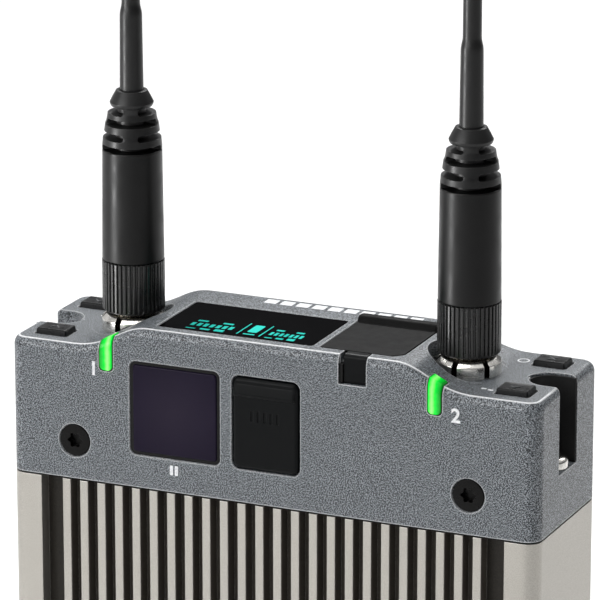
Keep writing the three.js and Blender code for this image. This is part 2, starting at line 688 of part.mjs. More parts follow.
function antennaSocket() {
  const profile = [
    [0, 12.9], [2.4, 12.9], [2.4, 16.2], [4.5, 16.2], [4.5, 18.3], [3.2, 18.3], [3.2, 28.4],
    [3.0, 28.6], [2.0, 28.6], [2.0, 22.4], [0.45, 22.4], [0.45, 26.6], [0, 26.9],
  ];
  return turned(profile);
}

// The coupling nut's grip: `ribs` ridges round the outside.
function knurl(outer, root, ribs) {
  const s = new THREE.Shape();
  for (let i = 0; i < ribs; i++) {
    const across = [[0.1, root], [0.5, outer]];
    across.forEach(([share, r], k) => {
      const a = ((i + share) / ribs) * 2 * Math.PI;
      if (i || k) s.lineTo(r * Math.cos(a), r * Math.sin(a));
      else s.moveTo(r * Math.cos(a), r * Math.sin(a));
    });
  }
  return s;
}

function couplingNut() {
  const grip = standing(knurl(4.6, 4.36, 40), ...COUPLING_Z);
  return cut(grip, rod(3.3, 20, 29.2, 0, 0, 20), rod(2.6, 20, 34, 0, 0, 20));
}

function antennaPlug() {
  const profile = [
    [0.7, 23.2], [1.85, 23.2], [1.85, 28.65], [3.2, 28.65], [3.2, 29.1], [2.5, 29.1], [2.5, 33], [0, 33],
    [0, 28.2], [0.7, 28.2], [0.7, 23.2],
  ];
  return turned(profile);
}

function antennaSleeve() {
  const [z0, z1] = SLEEVE_Z;
  return turned([[2.6, z0], [4.56, z0], [4.38, z1], [0, z1], [0, 33.1], [2.6, 33.1], [2.6, z0]]);
}

// Three rings and a collar on a tapering core. Each gap is bridged by two webs, a quarter turn from the
// webs of the next gap.
function bendRelief() {
  const foot = SLEEVE_Z[1] + 0.05;
  const core = [[0, foot], [2.9, foot], [2.2, 54.4], [0, 54.4]];
  const rings = [
    [[0, 48.7], [4.38, 48.7], [4.24, 49.9], [0, 49.9]],
    [[0, 50.6], [4.08, 50.6], [3.9, 51.9], [0, 51.9]],
    [[0, 52.6], [3.66, 52.6], [3.5, 53.6], [0, 53.6]],
    [[0, 54.3], [3.17, 54.5], [3.05, 55.6], [2.1, RELIEF_END], [0, RELIEF_END]],
  ];
  let relief = join(turned(core), ...rings.map((ring) => turned(ring)));
  const webs = [[3.9, 0], [3.6, 1.75], [3.25, 3.75], [2.85, 5.5]];
  webs.forEach(([reach, height], i) => {
    const web = block(-reach, reach, -1.5, 1.5, foot + height, foot + height + 0.9);
    relief = relief.add(web.rotate([0, 0, RELIEF_TURN + 90 * (i % 2)]));
  });
  return relief.subtract(rod(1.78, WHIP_FOOT - 0.1, 60, 0, 0, 16));
}

function antennaWhip() {
  const foot = [[0, WHIP_FOOT], [1.73, WHIP_FOOT], [1.73, 57], [1.62, 68.2], [1.34, 69.3]];
  const tip = [[1.2, WHIP_TIP - 1.8], [1.05, WHIP_TIP - 0.6], [0.6, WHIP_TIP - 0.1], [0, WHIP_TIP]];
  return turned([...foot, ...tip], 0, 0, 0, 12);
}

const ANTENNA_PARTS = [
  ["ring_nut", ringNut, NICKEL],
  ["antenna_socket", antennaSocket, BRASS],
  ["coupling_nut", couplingNut, BLACK_STEEL],
  ["antenna_plug", antennaPlug, BRASS],
  ["antenna_sleeve", antennaSleeve, BLACK_PLASTIC],
  ["bend_relief", bendRelief, BLACK_RUBBER],
  ["antenna_whip", antennaWhip, BLACK_RUBBER],
];
for (const [side, sx] of SIDES) {
  for (const [name, make, material] of ANTENNA_PARTS) {
    add(headGroup, `${name}_${side}`, make().translate([sx * ANTENNA_X, ANTENNA_Y, 0]), material);
  }
}

export default receiver;
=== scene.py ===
"""Looks of a two-channel wireless receiver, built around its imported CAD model.

Shapes are made in millimetres in the CAD frame and turned into metres when they become pieces.
X runs to the right, -Y out of the front face, and Z up from the flat underside.
"""

import json
import math

import bmesh
import bpy
from mathutils import Matrix, Vector


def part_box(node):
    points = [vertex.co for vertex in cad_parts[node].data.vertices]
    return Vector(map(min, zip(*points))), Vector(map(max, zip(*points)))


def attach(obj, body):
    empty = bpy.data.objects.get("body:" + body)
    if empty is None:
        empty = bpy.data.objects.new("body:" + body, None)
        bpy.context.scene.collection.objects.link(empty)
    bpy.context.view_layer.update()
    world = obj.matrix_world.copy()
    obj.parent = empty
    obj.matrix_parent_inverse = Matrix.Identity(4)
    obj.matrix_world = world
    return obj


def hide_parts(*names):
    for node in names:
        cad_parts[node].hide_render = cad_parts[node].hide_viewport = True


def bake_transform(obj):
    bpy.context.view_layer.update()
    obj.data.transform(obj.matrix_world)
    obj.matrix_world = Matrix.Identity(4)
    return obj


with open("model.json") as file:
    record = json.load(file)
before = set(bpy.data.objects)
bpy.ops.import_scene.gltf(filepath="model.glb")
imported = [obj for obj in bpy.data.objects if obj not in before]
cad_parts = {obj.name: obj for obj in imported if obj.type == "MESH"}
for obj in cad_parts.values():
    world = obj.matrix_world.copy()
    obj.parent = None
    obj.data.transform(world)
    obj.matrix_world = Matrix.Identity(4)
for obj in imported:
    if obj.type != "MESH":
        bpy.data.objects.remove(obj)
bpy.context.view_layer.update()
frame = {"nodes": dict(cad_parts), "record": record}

MM = 0.001
SIDES = (("left", -1), ("right", 1))
ENDS = (("front", -1), ("rear", 1))


def box_mm(node):
    """Lowest and highest corner of a CAD node, in millimetres."""
    low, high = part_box(node)
    return Vector(low) / MM, Vector(high) / MM


# ---------------------------------------------------------------- driving dimensions
head_low, head_high = box_mm("head_housing")
HALF_W = head_high.x
HALF_D = head_high.y
FRONT = -HALF_D
SEAM = head_low.z - 0.15
TOP = head_high.z
LOBE = SEAM + 20.65  # top of the head's lower ends
CORNER_R = 2.33
EDGE_R = 1.3
REAR_EDGE_R = 2.6
FRONT_ROUND = 1.72  # the front edge's arc, which ends in a crease before it is level
FRONT_ROUND_END = 56
RAMP_IN = 19.3
RAMP_OUT = 31.5
GAP = 0.12
FLARE = 0.13  # small chamfer round the openings
ANTENNA_X = 26.5
ANTENNA_Y = -1.0
SLOT_X = 38.6
SLOT_R = 3.05
SLOT_FLOOR = SEAM + 7.7
KEY_X, KEY_Y = 36.19, 7.23
KEY_W, KEY_D = 5.15, 3.85
LED_W = 2.35
HEAD_SCREW_X, HEAD_SCREW_Z = 30.97, SEAM + 5.95
FOOT_SCREW_X, FOOT_SCREW_Y = 38.3, 7.6
JACK_X = 13.1
FIN_COUNT, FIN_PITCH, FIN_WIDTH, FIN_DEPTH = 24, 2.818, 1.292, 2.26
PLAIN_CORNER_X = 36.51  # where the case's plain corners begin
WIDE_GROOVE_X = 33.1
RING_NUT_R = 4.72
RING_NUT_CONE = 27.02  # height over the seam where the notches' shade would meet the antenna's axis
DATA_PORT = (-4.7, 3.97, SEAM + 10.4, SEAM + 14.1)
FLAP_CLIP = 1.4
LIGHT_PIPE_HALF = 0.95
LIGHT_PIPE_X = 25.4  # where their bright core is
WINDOW_MIDDLE = (-14.8, SEAM + 12.2)


def led_x(sx):
    """Where a light pipe's slot is."""
    low, high = box_mm("light_pipe_left" if sx < 0 else "light_pipe_right")
    return (low.x + high.x) / 2


# ---------------------------------------------------------------- outlines and profiles
def arc(cx, cy, r, start, end, steps):
    """Points on an arc, its angles in degrees."""
    angles = [math.radians(start + (end - start) * k / steps) for k in range(steps + 1)]
    return [(cx + r * math.cos(a), cy + r * math.sin(a)) for a in angles]


def rounded_rect(x0, x1, y0, y1, r, steps=8):
    r = max(r, 0.02)
    corners = ((x1 - r, y0 + r, -90), (x1 - r, y1 - r, 0), (x0 + r, y1 - r, 90), (x0 + r, y0 + r, 180))
    return [p for cx, cy, start in corners for p in arc(cx, cy, r, start, start + 90, steps)]


def grown_rect(x0, x1, y0, y1, r):
    """An outline as a function of how far it has grown."""
    return lambda grow: rounded_rect(x0 - grow, x1 + grow, y0 - grow, y1 + grow, r + grow)


def soften(points, radius, steps=4, closed=False):
    """The same line of points with its corners rounded."""
    made = []
    count = len(points)
    for i, (x, y) in enumerate(points):
        if not closed and i in (0, count - 1):
            made.append((x, y))
            continue
        corner = Vector((x, y))
        before = Vector(points[i - 1]) - corner
        after = Vector(points[(i + 1) % count]) - corner
        reach = min(radius, 0.45 * before.length, 0.45 * after.length)
        a = corner + before.normalized() * reach
        b = corner + after.normalized() * reach
        for k in range(steps + 1):
            t = k / steps
            made.append(tuple(a * (1 - t) ** 2 + corner * 2 * t * (1 - t) + b * t * t))
    return made


def rounded_spans(outer, inner, radius, steps=5):
    """Depths and growths of a plate whose outer face has a rounded rim."""
    inward = math.copysign(1, inner - outer)
    spans = []
    for k in range(steps + 1):
        a = math.pi / 2 * k / steps
        spans.append((outer + inward * radius * (1 - math.cos(a)), -radius * (1 - math.sin(a))))
    return spans + [(inner, 0)]


# ---------------------------------------------------------------- solids
def bridge(bm, low, high):
    """Faces between two rings of vertices. A ring may be one point."""
    for i in range(max(len(low), len(high))):
        j = i + 1
        corners = [low[i % len(low)], low[j % len(low)], high[j % len(high)], high[i % len(high)]]
        face = list(dict.fromkeys(corners))
        if len(face) > 2:
            bm.faces.new(face)


def loft(loops, closed=False, capped=True):
    """A solid through loops of points. It ends in flat faces, or joins its last loop to its first."""
    bm = bmesh.new()
    rings = [[bm.verts.new(p) for p in loop] for loop in loops]
    for low, high in zip(rings, rings[1:]):
        bridge(bm, low, high)
    if closed:
        bridge(bm, rings[-1], rings[0])
    elif capped:
        for ring in (rings[0], rings[-1]):
            if len(ring) > 2:
                bm.faces.new(ring)
    bmesh.ops.recalc_face_normals(bm, faces=bm.faces)
    return bm


def plate(outline, spans, axis="z"):
    """An outline that changes its size with depth, lying across Z, or across Y for the front face."""
    if axis == "z":
        return loft([[(u, v, depth) for u, v in outline(grow)] for depth, grow in spans])
    return loft([[(u, depth, v) for u, v in outline(grow)] for depth, grow in spans])


def opening(outline, surface, floor, axis="z", flare=FLARE):
    """The cutter of an opening with a small chamfer at the surface."""
    inward = math.copysign(1, floor - surface)
    spans = [(surface - inward, 1 + flare), (surface, flare), (surface + inward * flare, 0), (floor, 0)]
    return plate(outline, spans, axis)


def block(x0, x1, y0, y1, z0, z1):
    outline = [(x0, y0), (x1, y0), (x1, y1), (x0, y1)]
    return loft([[(x, y, z) for x, y in outline] for z in (z0, z1)])


def lathe(profile, x=0.0, y=0.0, steps=96):
    """A profile of (radius, height) turned about Z. One that starts off the axis closes on itself."""
    loops = []
    for r, z in profile:
        if r < 1e-6:
            loops.append([(x, y, z)])
        else:
            loops.append([(x + u, y + v, z) for u, v in arc(0, 0, r, 0, 360, steps)[:-1]])
    return loft(loops, closed=profile[0][0] > 1e-6)


def rod(r, z0, z1, x=0.0, y=0.0, steps=64):
    return lathe([(0, z0), (r, z0), (r, z1), (0, z1)], x, y, steps)


def moved(bm, matrix):
    bmesh.ops.transform(bm, matrix=matrix, verts=bm.verts)
    if matrix.determinant() < 0:
        bmesh.ops.reverse_faces(bm, faces=bm.faces)
    return bm


def shift(bm, x, y, z=0.0):
    return moved(bm, Matrix.Translation((x, y, z)))


def turn(bm, degrees, axis="Z"):
    return moved(bm, Matrix.Rotation(math.radians(degrees), 4, axis))


def helper_object(bm):
    mesh = bpy.data.meshes.new("helper")
    bm.to_mesh(mesh)
    bm.free()
    obj = bpy.data.objects.new("helper", mesh)
    bpy.context.scene.collection.objects.link(obj)
    return obj


def combine(base, tools, operation="DIFFERENCE"):
    """The solid `base` after each tool has been cut away, joined to it, or kept from it."""
    holder = helper_object(base)
    helpers = [helper_object(tool) for tool in tools]
    for helper in helpers:
        modifier = holder.modifiers.new("boolean", "BOOLEAN")
        modifier.operation = operation
        modifier.solver = "MANIFOLD"
        modifier.object = helper
    evaluated = holder.evaluated_get(bpy.context.evaluated_depsgraph_get())
    result = bmesh.new()
    result.from_mesh(evaluated.data)
    for obj in [holder, *helpers]:
        mesh = obj.data
        bpy.data.objects.remove(obj)
        bpy.data.meshes.remove(mesh)
    bmesh.ops.remove_doubles(result, verts=result.verts, dist=1e-4)
    return result


def bevelled(bm, radius, segments=3, angle=35):
    """The solid with its sharp edges rounded."""
    bmesh.ops.dissolve_limit(bm, angle_limit=math.radians(1), verts=bm.verts, edges=bm.edges)
    sharp = [e for e in bm.edges if e.is_manifold and e.calc_face_angle() > math.radians(angle)]
    bmesh.ops.bevel(
        bm, geom=sharp, offset=radius, segments=segments, profile=0.5, affect="EDGES", clamp_overlap=True
    )
    return bm


# ---------------------------------------------------------------- materials
def socket_value(material, socket, value):
    if isinstance(value, bpy.types.NodeSocket):
        material.node_tree.links.new(value, socket)
    else:
        socket.default_value = value


def node(material, kind, inputs=(), **settings):
    """A shader node with its settings and inputs. Inputs are (name or number, value or output)."""
    made = material.node_tree.nodes.new(kind)
    for name, value in settings.items():
        setattr(made, name, value)
    for key, value in inputs:
        socket_value(material, made.inputs[key], value)
    return made


def shader_of(material):
    return material.node_tree.nodes["Principled BSDF"]


def new_material(name, color, roughness, metallic=0.0, **more):
    material = bpy.data.materials.new(name)
    material.use_nodes = True
    shader = shader_of(material)
    shader.inputs["Base Color"].default_value = (*color, 1)
    shader.inputs["Roughness"].default_value = roughness
    shader.inputs["Metallic"].default_value = metallic
    for key, value in more.items():
        shader.inputs[key.replace("_", " ")].default_value = value
    return material


def object_place(material):
    return node(material, "ShaderNodeTexCoord").outputs["Object"]


def grain(material, size_mm, detail=2.0, stretch=(1, 1, 1), roughness=0.5):
    """Noise with grains of about `size_mm`, drawn out along an axis by `stretch`."""
    inputs = [("Vector", object_place(material)), ("Scale", tuple(1 / s for s in stretch))]
    mapping = node(material, "ShaderNodeMapping", inputs)
    inputs = [
        ("Vector", mapping.outputs["Vector"]),
        ("Scale", 1 / (size_mm * MM)),
        ("Detail", detail),
        ("Roughness", roughness),
    ]
    return node(material, "ShaderNodeTexNoise", inputs).outputs["Fac"]


def ramp(material, fac, stops):
    """A colour ramp. Each stop is (position, grey or colour)."""
    made = node(material, "ShaderNodeValToRGB", [("Fac", fac)])
    elements = made.color_ramp.elements
    while len(elements) < len(stops):
        elements.new(0.5)
    for element, (position, color) in zip(elements, stops):
        element.position = position
        element.color = (*color, 1) if isinstance(color, tuple) else (color, color, color, 1)
    return made.outputs["Color"]


def math_node(material, operation, a, b=0.0, clamp=False):
    made = node(material, "ShaderNodeMath", [(0, a), (1, b)], operation=operation, use_clamp=clamp)
    return made.outputs[0]


def axes(material):
    """The object's X, Y and Z, in metres."""
    parts = node(material, "ShaderNodeSeparateXYZ", [(0, object_place(material))])
    return [parts.outputs[axis] for axis in "XYZ"]


def less(material, value, mm):
    """A length in metres, less a number of millimetres."""
    return math_node(material, "SUBTRACT", value, mm * MM)


def rise(material, value, mm, clamp=True):
    """A length in metres as a share of a number of millimetres."""
    return math_node(material, "DIVIDE", value, mm * MM, clamp=clamp)


def distance(material, x, y):
    squares = [math_node(material, "MULTIPLY", part, part) for part in (x, y)]
    return math_node(material, "SQRT", math_node(material, "ADD", *squares))


def mixed(material, fac, a, b, blend="MIX"):
    """Colour a to colour b by fac."""
    made = node(material, "ShaderNodeMix", [("Factor", fac)], data_type="RGBA", blend_type=blend)
    for socket, value in ((made.inputs[6], a), (made.inputs[7], b)):
        socket_value(material, socket, (*value, 1) if isinstance(value, tuple) else value)
    return made.outputs[2]


def soft_edges(material, radius_mm):
    """A normal that is rounded where edges are sharp."""
    return node(material, "ShaderNodeBevel", [("Radius", radius_mm * MM)], samples=4).outputs["Normal"]


def edge_wear_and_highlight(material, radius_mm, low=0.02, high=0.16):
    """1 on edges and 0 on flats: the mask for rubbed edges, which also paints a highlight on them."""
    geometry = node(material, "ShaderNodeNewGeometry")
    inputs = [(0, soft_edges(material, radius_mm)), (1, geometry.outputs["Normal"])]
    flat = node(material, "ShaderNodeVectorMath", inputs, operation="DOT_PRODUCT").outputs["Value"]
    bent = math_node(material, "SUBTRACT", 1.0, flat)
    return ramp(material, bent, [(low, 0.0), (high, 1.0)])


def bump(material, height, distance_mm, strength=1.0, normal=None):
    inputs = [("Height", height), ("Distance", distance_mm * MM), ("Strength", strength)]
    if normal is not None:
        inputs.append(("Normal", normal))
    result = node(material, "ShaderNodeBump", inputs).outputs["Normal"]
    socket_value(material, shader_of(material).inputs["Normal"], result)


def link_shader(material, **sockets):
    for key, value in sockets.items():
        socket_value(material, shader_of(material).inputs[key.replace("_", " ")], value)


def crease_highlight_line(material, width_mm):
    """1 along the crease that runs round the head's front top edge and its two front corners, for a painted
    highlight line there that fades out towards the rear.
    """
    x, y, z = axes(material)
    inset = FRONT_ROUND * (1 - math.cos(math.radians(FRONT_ROUND_END)))
    across = less(material, math_node(material, "ABSOLUTE", x), HALF_W - CORNER_R)
    ahead = less(material, math_node(material, "MULTIPLY", y, -1.0), HALF_D - CORNER_R)
    corner = [math_node(material, "MAXIMUM", part, 0.0) for part in (across, ahead)]
    off = less(material, distance(material, *corner), CORNER_R - inset)
    off = rise(material, math_node(material, "ABSOLUTE", off), width_mm, clamp=False)
    line = math_node(material, "SUBTRACT", 1.25, off, clamp=True)
    high = math_node(material, "GREATER_THAN", z, (LOBE - 0.35) * MM)
    fading = rise(material, math_node(material, "ADD", y, 1.0 * MM), -5)
    return math_node(material, "MULTIPLY", math_node(material, "MULTIPLY", line, high), fading)


def head_paint():
    """Grey-blue speckled paint: dark and light grains, brighter on its edges where it is partly rubbed and
    partly given a painted highlight, with a painted highlight line along the front crease.
    """
    material = new_material("head_paint", (0.16, 0.172, 0.19), 0.36, Specular_IOR_Level=0.5)
    fine = grain(material, 0.155, 1.5, roughness=0.65)
    coarse = grain(material, 1.2, 2.0)
    speckle = ramp(
        material,
        fine,
        [(0.45, (0.002, 0.004, 0.007)), (0.5, (0.052, 0.063, 0.073)), (0.565, (0.29, 0.312, 0.333))],
    )
    cloud = ramp(material, coarse, [(0.3, 0.93), (0.7, 1.06)])
    color = mixed(material, 1.0, speckle, cloud, "MULTIPLY")
    rubbed_and_highlit = edge_wear_and_highlight(material, 0.32, 0.02, 0.18)
    # Paler edges, partly rubbed and partly a painted highlight, and a painted highlight line along the front
    # crease.
    worn = math_node(material, "MAXIMUM", rubbed_and_highlit, crease_highlight_line(material, 0.17))
    worn = math_node(material, "MULTIPLY", worn, ramp(material, fine, [(0.3, 0.6), (0.6, 1.0)]))
    color = mixed(material, worn, color, (0.84, 0.85, 0.86))
    rough = ramp(material, fine, [(0.3, 0.44), (0.7, 0.3)])
    link_shader(material, Base_Color=color, Roughness=rough)
    bump(material, fine, 0.016, 0.4, soft_edges(material, 0.15))
    return material


def case_metal():
    """Satin champagne metal, bright on its outer faces and corners, with painted shade that colours the
    grooves dark brown.
    """
    material = new_material("case_metal", (0.7, 0.66, 0.6), 0.38, 0.85, Specular_IOR_Level=0.2)
    fine = grain(material, 0.13, 3.0)
    span, depth = [math_node(material, "ABSOLUTE", part) for part in axes(material)[:2]]
    face = rise(material, less(material, depth, HALF_D - 0.35), 0.25, clamp=False)
    band = rise(material, less(material, span, PLAIN_CORNER_X - 0.06), 0.1, clamp=False)
    bright = math_node(material, "MAXIMUM", face, band, clamp=True)
    skin = ramp(material, fine, [(0.3, (0.37, 0.35, 0.315)), (0.7, (0.5, 0.48, 0.44))])
    # Painted shade in the grooves: dark brown in the narrow ones, darker still in the wide ones.
    narrow_groove_shade = ramp(material, fine, [(0.3, (0.05, 0.043, 0.035)), (0.7, (0.1, 0.088, 0.074))])
    wide = ramp(material, fine, [(0.3, (0.012, 0.01, 0.008)), (0.7, (0.03, 0.026, 0.02))])
    groove = mixed(material, math_node(material, "GREATER_THAN", span, WIDE_GROOVE_X * MM), narrow_groove_shade, wide)
    color = mixed(material, bright, groove, skin)
    # Paler edges: partly rubbed, partly a painted highlight.
    color = mixed(material, edge_wear_and_highlight(material, 0.12, 0.04, 0.25), color, (0.92, 0.9, 0.86))
    rough = ramp(material, fine, [(0.3, 0.46), (0.7, 0.36)])
    metal = math_node(material, "MULTIPLY", bright, 0.92)
    link_shader(material, Base_Color=color, Roughness=rough, Metallic=metal)
    bump(material, fine, 0.008, 0.4, soft_edges(material, 0.1))
    return material


def moulded(name, dark, light, roughness, specular=0.15, size_mm=0.12, depth_mm=0.01, edge_mm=0.12):
    """Black plastic or rubber with a fine grain, a little paler on its edges, which are partly rubbed and
    partly given a painted highlight.
    """
    material = new_material(name, dark, roughness, Specular_IOR_Level=specular)
    fine = grain(material, size_mm, 3.0)
    broad = grain(material, size_mm * 12, 2.0)
    color = ramp(material, fine, [(0.3, dark), (0.75, light)])
    rubbed_and_highlit = tuple(c * 1.8 + 0.014 for c in light)
    color = mixed(material, edge_wear_and_highlight(material, edge_mm, 0.03, 0.3), color, rubbed_and_highlit)
    rough = ramp(material, broad, [(0.3, roughness - 0.07), (0.7, roughness + 0.07)])
    link_shader(material, Base_Color=color, Roughness=rough)
    bump(material, fine, depth_mm, 0.5, soft_edges(material, edge_mm))
    return material


def plated(name, dark, light, roughness, size_mm=0.25, stretch=(1, 1, 1), edge_mm=0.08, metallic=1.0):
    """Bare or plated metal with fine tool marks."""
    material = new_material(name, light, roughness, metallic)
    marks = grain(material, size_mm, 3.0, stretch)
    color = ramp(material, marks, [(0.25, dark), (0.7, light)])
    rough = ramp(material, marks, [(0.3, roughness + 0.06), (0.7, max(roughness - 0.06, 0.04))])
    link_shader(material, Base_Color=color, Roughness=rough)
    bump(material, marks, 0.006, 0.4, soft_edges(material, edge_mm))
    return material


def nearness(material, x_mm, z_mm, reach_mm):
    """1 at a place on the front face, and 0 from `reach_mm` away."""
    x, _, z = axes(material)
    away = distance(material, less(material, x, x_mm), less(material, z, z_mm))
    return math_node(material, "SUBTRACT", 1.0, rise(material, away, reach_mm, clamp=False), clamp=True)


def base_tone(material):
    """What a finished material's base colour is linked to."""
    return shader_of(material).inputs["Base Color"].links[0].from_socket


def filter_pane():
    """Dark violet filter plastic, paler towards the middle with a painted glow where the sensor is behind it.
    """
    pale, deep = (0.009, 0.0055, 0.018), (0.006, 0.0035, 0.012)
    material = polished("filter_glass", pale, deep, 0.09, edge_mm=0.14)
    painted_glow = ramp(material, nearness(material, *WINDOW_MIDDLE, 9.0), [(0.1, 0.0), (0.95, 0.85)])
    link_shader(material, Base_Color=mixed(material, painted_glow, base_tone(material), (0.018, 0.013, 0.026)))
    return material


def notched_nickel():
    """Bright nickel with painted shade in the ring nut's notches, which lie inside its rim and chamfer."""
    material = plated("ring_nickel", (0.84, 0.82, 0.77), (0.92, 0.9, 0.85), 0.22, 0.14)
    x, y, z = axes(material)
    x = less(material, math_node(material, "ABSOLUTE", x), ANTENNA_X)
    r = distance(material, x, less(material, y, ANTENNA_Y))
    inside = rise(material, math_node(material, "SUBTRACT", (RING_NUT_R - 0.06) * MM, r), 0.04)
    chamfer = math_node(material, "SUBTRACT", (SEAM + RING_NUT_CONE) * MM, r)
    under = rise(material, math_node(material, "SUBTRACT", chamfer, z), 0.05)
    notch_shade = math_node(material, "MULTIPLY", inside, under)
    link_shader(material, Base_Color=mixed(material, notch_shade, base_tone(material), (0.03, 0.027, 0.022)))
    return material


def polished(name, color, deep, specular=0.2, size_mm=9.0, edge_mm=0.1):
    """Glossy glass or filter plastic, with a slow change of depth in its colour."""
    material = new_material(name, color, 0.12, Specular_IOR_Level=specular)
    slow = grain(material, size_mm, 1.0)
    tone = ramp(material, slow, [(0.3, deep), (0.7, color)])
    # Paler edges: partly rubbed, partly a painted highlight.
    rubbed_and_highlit = tuple(0.03 + c * 1.6 for c in color)
    tone = mixed(material, edge_wear_and_highlight(material, edge_mm, 0.02, 0.2), tone, rubbed_and_highlit)
    dust = ramp(material, grain(material, 0.5, 3.0), [(0.3, 0.08), (0.8, 0.16)])
    link_shader(material, Base_Color=tone, Roughness=dust)
    bump(material, grain(material, 0.3, 2.0), 0.001, 0.2, soft_edges(material, edge_mm))
    return material


def glowing(name, rim, core, strength, core_at=0.0, half_width=2.0):
    """A light guide or lamp: saturated, with a paler core at a distance from the middle plane (mm)."""
    material = new_material(name, rim, 0.16, Emission_Strength=strength, Specular_IOR_Level=0.3)
    across = math_node(material, "ABSOLUTE", axes(material)[0])
    across = math_node(material, "ABSOLUTE", less(material, across, core_at))
    share = rise(material, across, half_width, clamp=False)
    streak = mixed(material, 0.18, share, grain(material, 0.7, 1.0))
    tone = ramp(material, streak, [(0.12, core), (0.42, rim), (0.95, tuple(c * 0.35 for c in rim))])
    rough = ramp(material, grain(material, 0.3, 2.0), [(0.3, 0.12), (0.7, 0.24)])
    link_shader(material, Base_Color=tone, Emission_Color=tone, Roughness=rough)
    bump(material, grain(material, 0.4, 2.0), 0.004, 0.3)
    return material


def printed(name, color, worn):
    """Screen print or glowing marks, with slightly uneven ink."""
    material = new_material(name, color, 0.5)
    ink = ramp(material, grain(material, 0.25, 3.0), [(0.3, worn), (0.6, color)])
    link_shader(material, Base_Color=ink)
    bump(material, grain(material, 0.1, 2.0), 0.004, 0.4)
    return material


def grey(value):
    return (value, value, value)


MATERIALS = (
    head_paint(),
    case_metal(),
    moulded("black_rubber", (0.0015, 0.002, 0.0022), (0.0035, 0.004, 0.0045), 0.36, 0.1),
    moulded("flap_rubber", grey(0.003), grey(0.009), 0.5, 0.06, 0.15),
    moulded("button_rubber", (0.004, 0.0045, 0.005), (0.007, 0.0075, 0.008), 0.3, 0.2, edge_mm=0.1),
    moulded("key_sign", (0.05, 0.052, 0.055), (0.08, 0.083, 0.088), 0.4, 0.3),
    polished("display_glass", (0.002, 0.002, 0.0022), (0.001, 0.001, 0.0012), 0.03),
    filter_pane(),
    moulded("black_plastic", grey(0.006), grey(0.012), 0.5, 0.15),
    moulded("slot_liner", grey(0.007), grey(0.012), 0.6, 0.2),
    glowing("light_pipe", (0.0, 0.6, 0.03), (0.22, 0.9, 0.16), 0.55, LIGHT_PIPE_X, 1.2),
    moulded("circuit_board", (0.02, 0.1, 0.05), (0.03, 0.16, 0.08), 0.45, 0.4, 0.4),
    plated("tin_plate", (0.5, 0.5, 0.51), (0.7, 0.71, 0.72), 0.35),
    moulded("black_steel", (0.002, 0.0019, 0.0018), (0.005, 0.0047, 0.0044), 0.3, 0.12),
    plated("bright_steel", (0.6, 0.59, 0.55), (0.82, 0.81, 0.77), 0.2),
    notched_nickel(),
    plated("brass_contact", (0.46, 0.42, 0.33), (0.66, 0.6, 0.48), 0.25),
    moulded("coupling_black", grey(0.004), grey(0.006), 0.27, 0.5, 0.3, 0.002),
    moulded("antenna_sleeve", grey(0.002), grey(0.0035), 0.36, 0.25, 0.2, 0.004),
    moulded("antenna_rubber", grey(0.006), grey(0.01), 0.38, 0.34, 0.2, 0.004),
    printed("print_white", (0.8, 0.81, 0.82), (0.6, 0.61, 0.63)),
    glowing("display_teal", (0.0, 0.3, 0.25), (0.02, 0.5, 0.42), 0.45, 5.0, 20.0),
)
# Blender ends a name with .001 where the frame's own material already has it
FINISHES = {material.name.split(".")[0]: material for material in MATERIALS}


# ---------------------------------------------------------------- pieces
def piece(name, bm, body, finish, *nodes, smooth=32):
    """Turns a solid into a piece that rides on a body and stands for CAD nodes."""
    bmesh.ops.scale(bm, vec=(MM, MM, MM), verts=bm.verts)
    mesh = bpy.data.meshes.new(name)
    for face in bm.faces:
        face.smooth = True
    for edge in bm.edges:
        edge.smooth = not edge.is_manifold or edge.calc_face_angle() < math.radians(smooth)
    bm.to_mesh(mesh)
    bm.free()
    obj = bpy.data.objects.new(name, mesh)
    bpy.context.scene.collection.objects.link(obj)
    weighted = obj.modifiers.new("weighted_normal", "WEIGHTED_NORMAL")
    weighted.keep_sharp = True
    mesh.materials.append(FINISHES[finish])
    if body:
        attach(obj, body)
    if nodes:
        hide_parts(*nodes)
    return obj


def dress_cad_nodes():
    """CAD nodes that stay as they are get their slot's finish."""
    for part in frame["record"]["subparts"]:
        obj = frame["nodes"][part["node"]]
        if obj.hide_render:
            continue
        obj.data.materials.clear()
        obj.data.materials.append(FINISHES[part["material_slot"]])


# ---------------------------------------------------------------- head housing
def ramp_share(x):
    """0 on the lower ends and 1 on the raised middle."""
    x = abs(x)
    if x >= RAMP_OUT:
        return 0.0
    if x <= RAMP_IN:
        return 1.0
    low, high = 0.0, 1.0
    for _ in range(30):
        t = (low + high) / 2
        left = 1 - t
        at = left**3 * RAMP_OUT + 3 * left**2 * t * 25.4 + 3 * left * t * t * 23.6 + t**3 * RAMP_IN
        low, high = (t, high) if at > x else (low, t)
    return t * t * (3 - 2 * t)


def head_top(x):
    return LOBE + (TOP - LOBE) * ramp_share(x)


def edge_step(sign, share, x, proud):
    """How far the head's top edge is inset and dropped at a share of its rounding.

    The front rounding meets the top in a crease, and the rear one runs out smoothly into it.
    """
    if sign < 0:
        r, end = FRONT_ROUND + proud, math.radians(FRONT_ROUND_END)
    else:
        r, end = EDGE_R + (REAR_EDGE_R - EDGE_R) * ramp_share(x) + proud, math.pi / 2
    return r * (1 - math.cos(end * share)), r * (math.sin(end) - math.sin(end * share))


